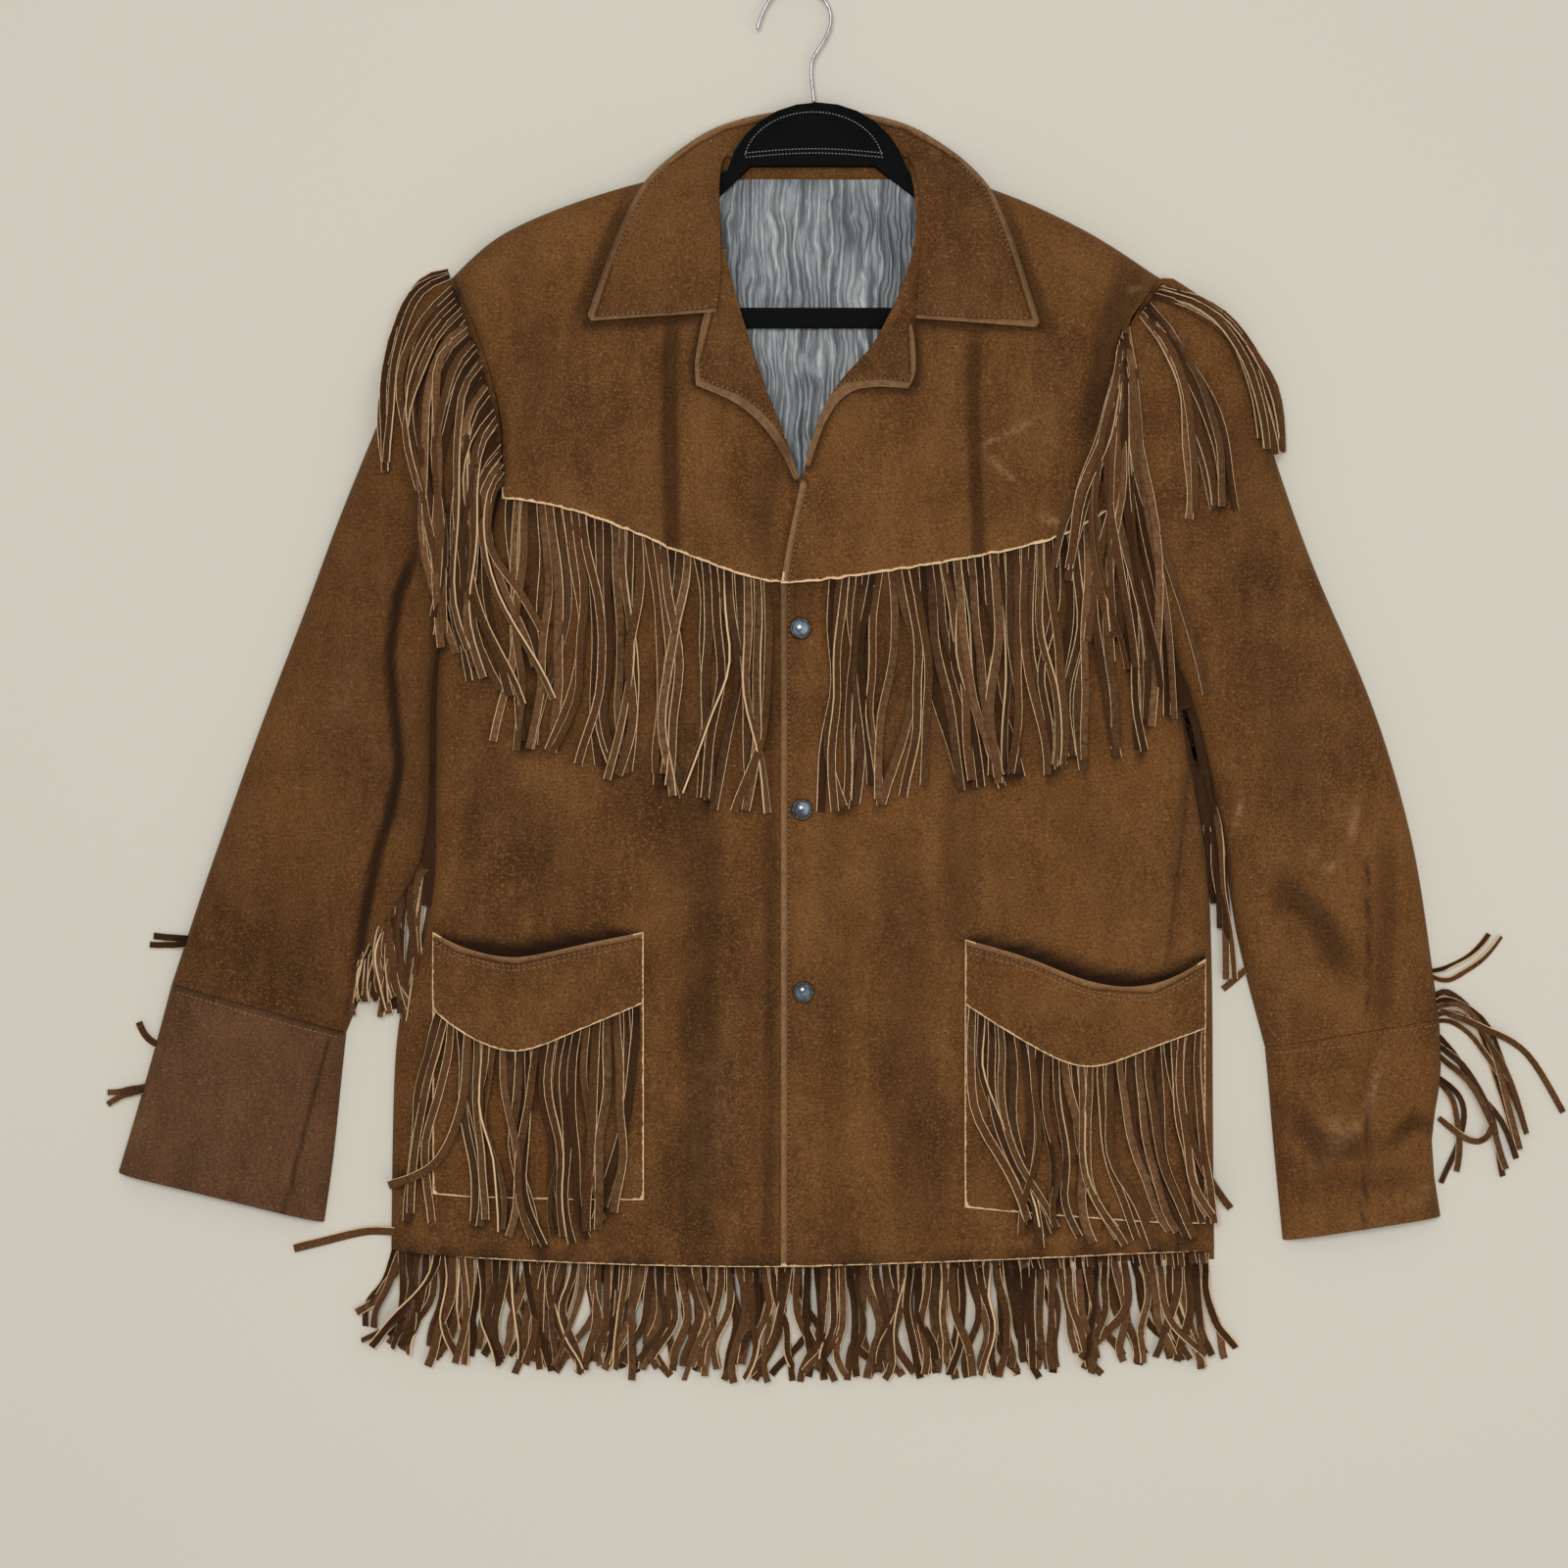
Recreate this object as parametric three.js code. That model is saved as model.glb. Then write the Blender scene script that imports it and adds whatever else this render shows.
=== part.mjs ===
// A fringed suede western jacket, fastened and laid on its back, with its hanger still in the neck.
// Millimetres, +Z up. Seen from above, X runs to the wearer's left sleeve and Y to the collar.
// The origin is on the flat underside of the back, in the middle of the garment.
// Right and left are the wearer's, so the right front has negative X.

import * as THREE from "three";

// Driving dimensions of the cloth.
const SUEDE = 1.4; // thickness of the suede
const SEAM = 0.3; // gap between two pieces that are sewn or lie together
const FOLD = SUEDE + SEAM; // lowest level of a top layer, where it meets the layer below
const LINING = 1; // thickness of the lining with its interlining
const SIDE_ROLL = 24; // how far in from a side seam the front is still rounding
const SHOULDER_ROLL = 26; // the same, below the shoulder seam
const ARM_ROLL = 20; // the same, at a sleeve's two edges
const SHOULDER_TIP = 298; // level of the shoulder's outer end
const FRONT_EDGE = -15; // X of the left front's edge, which lies on top
const UNDERLAP = 12; // X of the right front's edge, hidden under the left one
const YOKE_TAB = 8; // how far the lower front runs up under its yoke
const YOKE_LIFT = 4.2; // how far a yoke's lower edge stands off, with the fringe strip under it

// Driving dimensions of the fringe, pockets and hard pieces.
const LACE = 1.1; // thickness of a fringe strand
const STRIP = 5; // height of the strip that the strands are cut from
const POCKET_GAPE = 10; // how far a pocket's mouth stands open
const POCKET_SLACK = 120; // how far down a pocket that gape fades away
const SNAP_RADIUS = 7.3;
const SNAP_HEIGHT = 3.4;
const SNAP_PLACES = [64, -56, -177]; // Y of each snap, down the front edge
const HANGER_BASE = 3.5; // level of the hanger's underside
const HANGER_THICK = 8;
const WIRE = 1.3; // radius of the hook's wire

// The body, a row for each level from the hem to the shoulder: X of the right and left side seam or
// armhole, height of the front's edge there, and height of the front in its middle.
const BODY = [
  { y: -349, right: -275, left: 274, rim: FOLD, loft: 12 },
  { y: -250, right: -274, left: 273, rim: FOLD, loft: 14 },
  { y: -188, right: -271, left: 273, rim: FOLD, loft: 15 },
  { y: -143, right: -253, left: 272, rim: FOLD, loft: 16 },
  { y: -85, right: -246, left: 270, rim: FOLD, loft: 17 },
  { y: -5, right: -245, left: 257, rim: FOLD, loft: 18 },
  { y: 64, right: -244, left: 240, rim: 4, loft: 19 },
  { y: 100, right: -222, left: 228, rim: 10, loft: 20 },
  { y: 150, right: -200, left: 214, rim: 14, loft: 22 },
  { y: 200, right: -199, left: 208, rim: 16, loft: 25 },
  { y: 240, right: -209, left: 208, rim: 16, loft: 26 },
  { y: 270, right: -220, left: 217, rim: 13, loft: 26 },
  { y: SHOULDER_TIP, right: -235, left: 238, rim: 5, loft: 25 },
];

const YOKE_END = 8; // row of BODY where the yoke's lower edge meets the armhole

const HEM = [
  { x: -275, y: -341 },
  { x: -214, y: -348 },
  { x: -78, y: -357 },
  { x: 20, y: -360 },
  { x: 274, y: -356 },
];
const YOKE_LINE = [
  { x: -200, y: 150 },
  { x: -156, y: 143 },
  { x: -117, y: 129 },
  { x: -84, y: 115 },
  { x: -45, y: 100 },
  { x: -15, y: 93 },
  { x: 52, y: 101 },
  { x: 130, y: 114 },
  { x: 173, y: 125 },
  { x: 214, y: 150 },
];
const SHOULDER_LINE = [
  { x: -235, y: SHOULDER_TIP },
  { x: -206, y: 325 },
  { x: -146, y: 351 },
  { x: -95, y: 365 },
  { x: -55, y: 374 },
  { x: 8, y: 369 },
  { x: 70, y: 374 },
  { x: 100, y: 366 },
  { x: 144, y: 351 },
  { x: 197, y: 325 },
  { x: 238, y: SHOULDER_TIP },
];
// The edges of the neck opening, from the lower end of the yokes up to the shoulder seam.
const NECK = [
  { y: 93, right: UNDERLAP, left: FRONT_EDGE },
  { y: 135, right: 9, left: -8 },
  { y: 158, right: -3, left: -2 },
  { y: 196, right: -15, left: 5 },
  { y: 214, right: -23, left: 10 },
  { y: 232, right: -29, left: 28 },
  { y: 262, right: -39, left: 55 },
  { y: 286, right: -49, left: 73 },
  { y: 330, right: -56, left: 76 },
  { y: 374, right: -55, left: 70 },
];

// The sleeves, a row for each pair of edge points. The first rows share the armhole's rows of BODY.
const CAPS = {
  right: [
    { outerX: -243, outerY: 299, loft: 6 },
    { outerX: -262, outerY: 280, loft: 15 },
    { outerX: -269, outerY: 252, loft: 19 },
    { outerX: -276, outerY: 221, loft: 21 },
    { outerX: -292, outerY: 182, loft: 22 },
    { outerX: -311, outerY: 136, loft: 21 },
    { outerX: -327, outerY: 91, loft: 20 },
  ],
  left: [
    { outerX: 247, outerY: 298, loft: 6 },
    { outerX: 270, outerY: 284, loft: 15 },
    { outerX: 286, outerY: 262, loft: 19 },
    { outerX: 299, outerY: 230, loft: 21 },
    { outerX: 312, outerY: 185, loft: 22 },
    { outerX: 330, outerY: 132, loft: 21 },
    { outerX: 346, outerY: 91, loft: 20 },
  ],
};
const ARMS = {
  right: [
    { outerX: -347, outerY: 39, innerX: -249, innerY: 20, loft: 19 },
    { outerX: -367, outerY: -13, innerX: -249, innerY: -25, loft: 18 },
    { outerX: -385, outerY: -65, innerX: -250, innerY: -78, loft: 18 },
    { outerX: -400, outerY: -107, innerX: -258, innerY: -106, loft: 17 },
    { outerX: -410, outerY: -138, innerX: -276, innerY: -131, loft: 16 },
    { outerX: -421, outerY: -171, innerX: -305, innerY: -204, loft: 15 },
  ],
  left: [
    { outerX: 364, outerY: 52, innerX: 252, innerY: 32, loft: 19 },
    { outerX: 380, outerY: 13, innerX: 262, innerY: -2, loft: 18 },
    { outerX: 393, outerY: -26, innerX: 273, innerY: -45, loft: 18 },
    { outerX: 407, outerY: -78, innerX: 283, innerY: -91, loft: 17 },
    { outerX: 414, outerY: -120, innerX: 286, innerY: -133, loft: 16 },
    { outerX: 424, outerY: -195, innerX: 308, innerY: -214, loft: 15 },
  ],
};
const CUFFS = {
  right: [
    { outerX: -421.2, outerY: -171.4, innerX: -305.2, innerY: -204.4, loft: 15 },
    { outerX: -435, outerY: -224, innerX: -309, innerY: -240, loft: 14 },
    { outerX: -448, outerY: -268, innerX: -314, innerY: -292, loft: 13 },
    { outerX: -457, outerY: -298, innerX: -320, innerY: -331, loft: 12 },
  ],
  left: [
    { outerX: 424.1, outerY: -195.4, innerX: 308.1, innerY: -214.4, loft: 15 },
    { outerX: 427, outerY: -238, innerX: 311, innerY: -244, loft: 14 },
    { outerX: 416, outerY: -274, innerX: 313, innerY: -273, loft: 17 },
    { outerX: 425, outerY: -327, innerX: 320, innerY: -343, loft: 12 },
  ],
};

// The lapels, a row from the lower tip up: the roll line and the outer edge.
const LAPELS = {
  right: [
    { rollX: -3, rollY: 163, outX: -6, outY: 162 },
    { rollX: -11, rollY: 188, outX: -20, outY: 192 },
    { rollX: -21, rollY: 213, outX: -44, outY: 214 },
    { rollX: -28, rollY: 229, outX: -71, outY: 224 },
    { rollX: -36, rollY: 252, outX: -73, outY: 240 },
    { rollX: -46, rollY: 276, outX: -65, outY: 274 },
  ],
  left: [
    { rollX: 1, rollY: 172, outX: 4, outY: 171 },
    { rollX: 9, rollY: 205, outX: 14, outY: 203 },
    { rollX: 25, rollY: 229, outX: 29, outY: 222 },
    { rollX: 37, rollY: 241, outX: 51, outY: 224 },
    { rollX: 47, rollY: 252, outX: 69, outY: 222 },
    { rollX: 59, rollY: 264, outX: 75, outY: 232 },
    { rollX: 67, rollY: 275, outX: 73, outY: 258 },
  ],
};

// The collar, a row for each place round the neck from the right wing's lower edge to the left's.
const COLLAR = [
  { outX: -144, outY: 266, outZ: 26, inX: -58, inY: 272, inZ: 29 },
  { outX: -131, outY: 304, outZ: 26, inX: -54, inY: 295, inZ: 29 },
  { outX: -116, outY: 342, outZ: 22, inX: -55, inY: 325, inZ: 28 },
  { outX: -105, outY: 362, outZ: 15, inX: -56, inY: 345, inZ: 27 },
  { outX: -92, outY: 376, outZ: 8, inX: -56, inY: 361, inZ: 22 },
  { outX: -72, outY: 392, outZ: 4, inX: -54.5, inY: 376, inZ: 9 },
  { outX: -53, outY: 402, outZ: 3.1, inX: -51.5, inY: 379, inZ: 3.1 },
  { outX: -20, outY: 410, outZ: 3.1, inX: -22, inY: 373, inZ: 3.1 },
  { outX: 8, outY: 411, outZ: 3.1, inX: 8, inY: 371, inZ: 3.1 },
  { outX: 36, outY: 410, outZ: 3.1, inX: 38, inY: 373, inZ: 3.1 },
  { outX: 69, outY: 402, outZ: 3.1, inX: 69, inY: 379, inZ: 3.1 },
  { outX: 86, outY: 392, outZ: 4, inX: 71.5, inY: 376, inZ: 9 },
  { outX: 106, outY: 378, outZ: 8, inX: 76, inY: 361, inZ: 22 },
  { outX: 124, outY: 357, outZ: 15, inX: 77, inY: 345, inZ: 27 },
  { outX: 132, outY: 337, outZ: 22, inX: 78, inY: 325, inZ: 28 },
  { outX: 142, outY: 310, outZ: 26, inX: 77, inY: 298, inZ: 29 },
  { outX: 157, outY: 262, outZ: 26, inX: 74, inY: 268, inZ: 29 },
];

// The pockets, a row across for the mouth's edge, the band's pointed edge and the bottom.
const POCKETS = {
  right: [
    { x: -246, mouth: -137, band: -188, bottom: -311 },
    { x: -226, mouth: -147, band: -204, bottom: -313 },
    { x: -191, mouth: -154, band: -217, bottom: -314 },
    { x: -152, mouth: -146, band: -203, bottom: -315 },
    { x: -106, mouth: -137, band: -184, bottom: -315 },
  ],
  left: [
    { x: 107, mouth: -142, band: -185, bottom: -320 },
    { x: 150, mouth: -154, band: -212, bottom: -324 },
    { x: 189, mouth: -170, band: -228, bottom: -327 },
    { x: 230, mouth: -173, band: -213, bottom: -330 },
    { x: 267, mouth: -155, band: -201, bottom: -331 },
  ],
};

// The fringes. Each row is one strand's root and tip at a share of the way along, with those between
// worked out, and bow is how far a strand swings sideways on its way.
const FRINGES = {
  yoke_right: {
    strands: 22,
    width: 5,
    rows: [
      { share: 0, rootX: -193, tipX: -197, tipY: -14, bow: 2 },
      { share: 0.5, rootX: -110, tipX: -112, tipY: -38, bow: -3 },
      { share: 1, rootX: -24, tipX: -28, tipY: -58, bow: 2 },
    ],
  },
  yoke_left: {
    strands: 27,
    width: 5,
    rows: [
      { share: 0, rootX: 20, tipX: 23, tipY: -52, bow: -2 },
      { share: 0.5, rootX: 110, tipX: 115, tipY: -36, bow: 3 },
      { share: 1, rootX: 206, tipX: 222, tipY: -16, bow: 2 },
    ],
  },
  pocket_right: {
    strands: 15,
    width: 5.4,
    rows: [
      { share: 0, rootX: -238, tipX: -240, tipY: -322, bow: 2 },
      { share: 0.4, rootX: -190, tipX: -192, tipY: -345, bow: -2 },
      { share: 1, rootX: -112, tipX: -110, tipY: -328, bow: 2 },
    ],
  },
  pocket_left: {
    strands: 17,
    width: 5.4,
    rows: [
      { share: 0, rootX: 114, tipX: 112, tipY: -324, bow: 2 },
      { share: 0.5, rootX: 186, tipX: 188, tipY: -345, bow: -2 },
      { share: 1, rootX: 259, tipX: 260, tipY: -336, bow: 2 },
    ],
  },
  armhole_right: {
    strands: 7,
    width: 3.2,
    uneven: 1,
    rows: [
      { share: 0, rootX: -242, rootY: 290, tipX: -286, tipY: 164, bow: 14 },
      { share: 0.25, rootX: -231, rootY: 272, tipX: -262, tipY: 108, bow: 10 },
      { share: 0.6, rootX: -216, rootY: 240, tipX: -238, tipY: 46, bow: 6 },
      { share: 1, rootX: -206, rootY: 196, tipX: -205, tipY: 16, bow: -2 },
    ],
  },
  armhole_left: {
    strands: 5,
    width: 3.2,
    uneven: 1,
    rows: [
      { share: 0, rootX: 216, rootY: 204, tipX: 186, tipY: 62, bow: -4 },
      { share: 0.35, rootX: 222, rootY: 252, tipX: 224, tipY: 42, bow: 2 },
      { share: 0.65, rootX: 230, rootY: 274, tipX: 262, tipY: 138, bow: 6 },
      { share: 1, rootX: 247, rootY: 293, tipX: 318, tipY: 182, bow: 22 },
    ],
  },
  hem_front: {
    strands: 58,
    width: 6,
    rows: [
      { share: 0, rootX: -262, tipX: -286, tipY: -412, bow: 2 },
      { share: 0.15, rootX: -184, tipX: -190, tipY: -428, bow: -3 },
      { share: 0.6, rootX: 52, tipX: 50, tipY: -432, bow: 3 },
      { share: 1, rootX: 262, tipX: 280, tipY: -420, bow: -2 },
    ],
  },
  hem_back: {
    strands: 26,
    width: 6,
    rows: [
      { share: 0, rootX: -269, tipX: -338, tipY: -350, bow: -4 },
      { share: 0.05, rootX: -252, tipX: -296, tipY: -408, bow: 2 },
      { share: 0.2, rootX: -170, tipX: -180, tipY: -434, bow: 3 },
      { share: 1, rootX: 266, tipX: 284, tipY: -424, bow: -2 },
    ],
  },
  sleeve_right: {
    strands: 6,
    width: 3.2,
    uneven: 0.5,
    rows: [
      { share: 0, rootY: -112, tipX: -433, tipY: -134, bow: 3 },
      { share: 0.4, rootY: -166, tipX: -449, tipY: -204, bow: 3 },
      { share: 1, rootY: -230, tipX: -467, tipY: -260, bow: 2 },
    ],
  },
  sleeve_right_inner: {
    strands: 8,
    width: 3.6,
    rows: [
      { share: 0, rootY: -116, tipX: -260, tipY: -150, bow: 0 },
      { share: 0.5, rootY: -150, tipX: -273, tipY: -180, bow: 0 },
      { share: 1, rootY: -184, tipX: -289, tipY: -224, bow: 0 },
    ],
  },
  sleeve_left: {
    strands: 6,
    width: 3.2,
    uneven: 0.5,
    rows: [
      { share: 0, rootY: -160, tipX: 460, tipY: -131, bow: 2 },
      { share: 0.3, rootY: -184, tipX: 507, tipY: -259, bow: -6 },
      { share: 0.6, rootY: -206, tipX: 478, tipY: -275, bow: -4 },
      { share: 1, rootY: -234, tipX: 444, tipY: -303, bow: -3 },
    ],
  },
};

// The hanger's outline from the right arm round the bar to the left arm, and the gap inside it.
const HANGER_OUTLINE = [
  { x: -50, y: 369 },
  { x: -120, y: 337 },
  { x: -186, y: 305 },
  { x: -202, y: 286 },
  { x: -190, y: 264.5 },
  { x: 206, y: 264.5 },
  { x: 218, y: 286 },
  { x: 202, y: 305 },
  { x: 136, y: 337 },
  { x: 68, y: 369 },
];
const HANGER_GAP = [
  { x: -35, y: 372 },
  { x: -58, y: 350 },
  { x: -125, y: 319 },
  { x: -184, y: 290 },
  { x: -178, y: 277.5 },
  { x: 194, y: 277.5 },
  { x: 200, y: 290 },
  { x: 141, y: 319 },
  { x: 76, y: 350 },
  { x: 47, y: 372 },
];
const HANGER_ARCH = { x: 9, y: 357, halfWidth: 61, height: 57 };
const HOOK = [
  { x: 7, y: 414.4 },
  { x: 5.5, y: 442 },
  { x: 15, y: 458 },
  { x: 18.5, y: 472 },
  { x: 13, y: 484 },
  { x: -3, y: 491 },
  { x: -19, y: 487 },
  { x: -27, y: 475 },
  { x: -31, y: 463 },
];

// Soft troughs pressed into the cloth: the ends of each, its half width and its depth.
const CREASES = [
  { fromX: -84, fromY: 262, toX: -88, toY: 116, half: 10, depth: 5 },
  { fromX: 112, fromY: 260, toX: 110, toY: 120, half: 10, depth: 4.5 },
  { fromX: 214, fromY: 280, toX: 190, toY: 200, half: 12, depth: 5 },
  { fromX: -30, fromY: 40, toX: -38, toY: -330, half: 22, depth: 4 },
  { fromX: 100, fromY: 60, toX: 96, toY: -300, half: 20, depth: 4 },
  { fromX: -95, fromY: 0, toX: -104, toY: -130, half: 14, depth: 4 },
  { fromX: -256, fromY: 112, toX: -274, toY: 40, half: 9, depth: 8 },
  { fromX: -272, fromY: 45, toX: -270, toY: -34, half: 9, depth: 8 },
  { fromX: -269, fromY: -32, toX: -302, toY: -185, half: 9, depth: 7 },
  { fromX: 370, fromY: -30, toX: 372, toY: -200, half: 10, depth: 4 },
  { fromX: 330, fromY: -128, toX: 385, toY: -70, half: 12, depth: 4 },
  { fromX: 330, fromY: -262, toX: 410, toY: -268, half: 12, depth: 5 },
];

// Shared ways of working out shapes.
const mix = THREE.MathUtils.lerp;
const ease = THREE.MathUtils.smoothstep;
const clamp = THREE.MathUtils.clamp;

// A column of a table at a place along its key, straight or smooth between the rows.
function at(table, key, column, place, smooth = true) {
  const rising = table[0][key] < table.at(-1)[key];
  const rows = rising ? table : [...table].reverse();
  const p = clamp(place, rows[0][key], rows.at(-1)[key]);
  let i = rows.findIndex((row) => row[key] >= p);
  i = Math.max(i, 1);
  const [a, b] = [rows[i - 1], rows[i]];
  const t = (p - a[key]) / (b[key] - a[key]);
  if (!smooth) return mix(a[column], b[column], t);
  const before = rows[i - 2] ?? a;
  const after = rows[i + 1] ?? b;
  const step = b[key] - a[key];
  const slopeA = ((b[column] - before[column]) / (b[key] - before[key])) * step;
  const slopeB = ((after[column] - a[column]) / (after[key] - a[key])) * step;
  const t2 = t * t;
  const t3 = t2 * t;
  return (
    (2 * t3 - 3 * t2 + 1) * a[column] +
    (t3 - 2 * t2 + t) * slopeA +
    (3 * t2 - 2 * t3) * b[column] +
    (t3 - t2) * slopeB
  );
}

const hemY = (x) => at(HEM, "x", "y", x);
const yokeY = (x) => at(YOKE_LINE, "x", "y", x);
const shoulderY = (x) => at(SHOULDER_LINE, "x", "y", x);
const sideX = (side, y) => at(BODY, "y", side, y, false);
const neckX = (side, y) => at(NECK, "y", side, y);

// How far a rounding edge has risen at a distance in from it, from 0 at the edge to 1.
function roll(distance, radius) {
  const left = 1 - clamp(distance / radius, 0, 1);
  return Math.sqrt(1 - left * left);
}

// What the creases take off the height at a place.
function creased(x, y) {
  let off = 0;
  for (const c of CREASES) {
    const [dx, dy] = [c.toX - c.fromX, c.toY - c.fromY];
    const length = Math.hypot(dx, dy);
    const along = ((x - c.fromX) * dx + (y - c.fromY) * dy) / length;
    const across = ((x - c.fromX) * dy - (y - c.fromY) * dx) / length;
    const fade = ease(along, -c.half, c.half) * (1 - ease(along, length - c.half, length + c.half));
    off += c.depth * fade * Math.exp(-((across / c.half) ** 2));
  }
  return off;
}

// Height of the outside of the fronts, before the yokes and the overlap lift it.
function frontTop(x, y) {
  const side = x < 0 ? "right" : "left";
  const level = clamp(y, BODY[0].y, SHOULDER_TIP);
  const rim = at(BODY, "y", "rim", level, false);
  const loft = at(BODY, "y", "loft", level) - 3 * Math.exp(-((x / 60) ** 2));
  const fromSide = Math.abs(sideX(side, level) - x);
  const body = rim + (loft - rim) * roll(fromSide, SIDE_ROLL) - creased(x, y);
  return FOLD + Math.max(body - FOLD, 0) * roll(shoulderY(x) - y, SHOULDER_ROLL);
}

// How far a yoke's lower edge stands off, easing away above it.
const yokeLift = (x, y) => YOKE_LIFT * (1 - ease(y - yokeY(x), YOKE_TAB + 4, 48));

// How far the left front is lifted by the right one under it.
function overlapLift(x, y) {
  const over = 1 - ease(x, UNDERLAP + 4, 52);
  const yokeBelow = YOKE_LIFT * ease(y - yokeY(x), -34, -3) * (1 - ease(y, 130, 170));
  return over * (SUEDE + 2 * SEAM + yokeBelow) * (1 - ease(y, 150, 200));
}

// Pieces already in place, so that later ones can be laid on them. Their triangles are kept by the square
// of the floor that they lie over.
const jacket = new THREE.Group();
const SQUARE = 12;
const squares = new Map();
const DOWN = new THREE.Vector3(0, 0, -1);

function add(name, geometry, material) {
  const mesh = new THREE.Mesh(geometry, material);
  mesh.name = name;
  jacket.add(mesh);
  const position = geometry.attributes.position;
  const corners = geometry.index ? [...geometry.index.array] : [...Array(position.count).keys()];
  for (let k = 0; k < corners.length; k += 3) {
    const [a, b, c] = [0, 1, 2].map((n) =>
      new THREE.Vector3().fromBufferAttribute(position, corners[k + n]),
    );
    const area = (b.x - a.x) * (c.y - a.y) - (b.y - a.y) * (c.x - a.x);
    if (area < 1e-6) continue;
    const low = [Math.min(a.x, b.x, c.x), Math.min(a.y, b.y, c.y)].map((v) => Math.floor(v / SQUARE));
    const high = [Math.max(a.x, b.x, c.x), Math.max(a.y, b.y, c.y)].map((v) => Math.floor(v / SQUARE));
    for (let i = low[0]; i <= high[0]; i++)
      for (let j = low[1]; j <= high[1]; j++) {
        const key = i * 1000 + j;
        if (!squares.has(key)) squares.set(key, []);
        squares.get(key).push({ name, a, b, c, area });
      }
  }
}

// The level of the highest piece at a place, or of the highest one named.
function topAt(x, y, only = null) {
  let top = 0;
  const here = squares.get(Math.floor(x / SQUARE) * 1000 + Math.floor(y / SQUARE)) ?? [];
  for (const { name, a, b, c, area } of here) {
    if (only && !only.includes(name)) continue;
    const shareB = ((x - a.x) * (c.y - a.y) - (y - a.y) * (c.x - a.x)) / area;
    const shareC = ((b.x - a.x) * (y - a.y) - (b.y - a.y) * (x - a.x)) / area;
    if (shareB < 0 || shareC < 0 || shareB + shareC > 1) continue;
    top = Math.max(top, a.z + shareB * (b.z - a.z) + shareC * (c.z - a.z));
  }
  return top;
}

// The highest level close round a place, so that a piece's own edge isn't missed.
const NEAR = 1.5;
function coverAt(x, y, only = null) {
  const [east, west, north, south] = [x + NEAR, x - NEAR, y + NEAR, y - NEAR];
  const sides = [topAt(east, y, only), topAt(west, y, only), topAt(x, north, only), topAt(x, south, only)];
  return Math.max(topAt(x, y, only), ...sides);
}

// Raises the points of a grid until the cloth clears what is below, looking every few millimetres and
// sharing each rise between the corners nearest to it.
const LOOK = 2;
function settle(grid, thickness, clearance = SEAM, only = null) {
  for (let j = 0; j + 1 < grid.length; j++)
    for (let i = 0; i + 1 < grid[0].length; i++) {
      const cell = [grid[j][i], grid[j][i + 1], grid[j + 1][i], grid[j + 1][i + 1]];
      const acrossSteps = Math.ceil(cell[0].distanceTo(cell[1]) / LOOK);
      const upSteps = Math.ceil(cell[0].distanceTo(cell[2]) / LOOK);
      for (let a = 0; a <= acrossSteps; a++)
        for (let b = 0; b <= upSteps; b++) {
          const [s, t] = [a / acrossSteps, b / upSteps];
          const shares = s > t ? [1 - s, s - t, 0, t] : [1 - t, 0, t - s, s];
          const sum = (key) => cell.reduce((total, p, n) => total + shares[n] * p[key], 0);
          const need = topAt(sum("x"), sum("y"), only) + clearance + thickness - sum("z");
          if (need <= 0) continue;
          const strength = shares.reduce((total, w) => total + w * w, 0);
          cell.forEach((p, n) => (p.z += (need * shares[n]) / strength));
        }
    }
  return grid;
}

// A closed solid from the quads of its upper side and a lower point for each upper one.
function closed(upper, lower, quads) {
  const low = upper.length;
  const index = [];
  const quad = (a, b, c, d) => index.push(a, b, c, a, c, d);
  const edges = new Set();
  for (const [a, b, c, d] of quads) {
    quad(a, b, c, d);
    quad(low + a, low + d, low + c, low + b);
    [[a, b], [b, c], [c, d], [d, a]].forEach(([p, q]) => edges.add(`${p} ${q}`));
  }
  for (const edge of edges) {
    const [a, b] = edge.split(" ").map(Number);
    if (!edges.has(`${b} ${a}`)) quad(a, low + a, low + b, b);
  }
  return new THREE.BufferGeometry().setFromPoints([...upper, ...lower]).setIndex(index);
}

// A wall of cloth under a grid of points: rows run up the garment, columns to the left sleeve. The lower
// side is set in along the cloth's own normal, or straight down, and never under the floor level.
function wall(grid, thickness, { straight = false, floor = 0 } = {}) {
  const rows = grid.length;
  const columns = grid[0].length;
  const inwards = (j, i) => {
    const across = grid[j][Math.min(i + 1, columns - 1)].clone().sub(grid[j][Math.max(i - 1, 0)]);
    const up = grid[Math.min(j + 1, rows - 1)][i].clone().sub(grid[Math.max(j - 1, 0)][i]);
    return straight ? DOWN : across.cross(up).normalize().negate();
  };
  const lower = grid.flatMap((row, j) =>
    row.map((p, i) => {
      const q = p.clone().addScaledVector(inwards(j, i), thickness);
      q.z = Math.max(q.z, Math.min(floor, p.z));
      return q;
    }),
  );
  const quads = [];
  for (let j = 0; j + 1 < rows; j++)
    for (let i = 0; i + 1 < columns; i++) {
      const a = j * columns + i;
      quads.push([a, a + 1, a + columns + 1, a + columns]);
    }
  return closed(grid.flat(), lower, quads);
}

// A grid filled in between four edges. Each edge is a function of 0 to 1 that gives [x, y].
function patch(us, vs, { bottom, top, start, end }) {
  const corner = [bottom(0), bottom(1), top(0), top(1)];
  return vs.map((v) =>
    us.map((u) => {
      const point = [0, 1].map(
        (k) =>
          mix(bottom(u)[k], top(u)[k], v) +
          mix(start(v)[k], end(v)[k], u) -
          mix(mix(corner[0][k], corner[1][k], u), mix(corner[2][k], corner[3][k], u), v),
      );
      return new THREE.Vector3(point[0], point[1], 0);
    }),
  );
}

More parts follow.
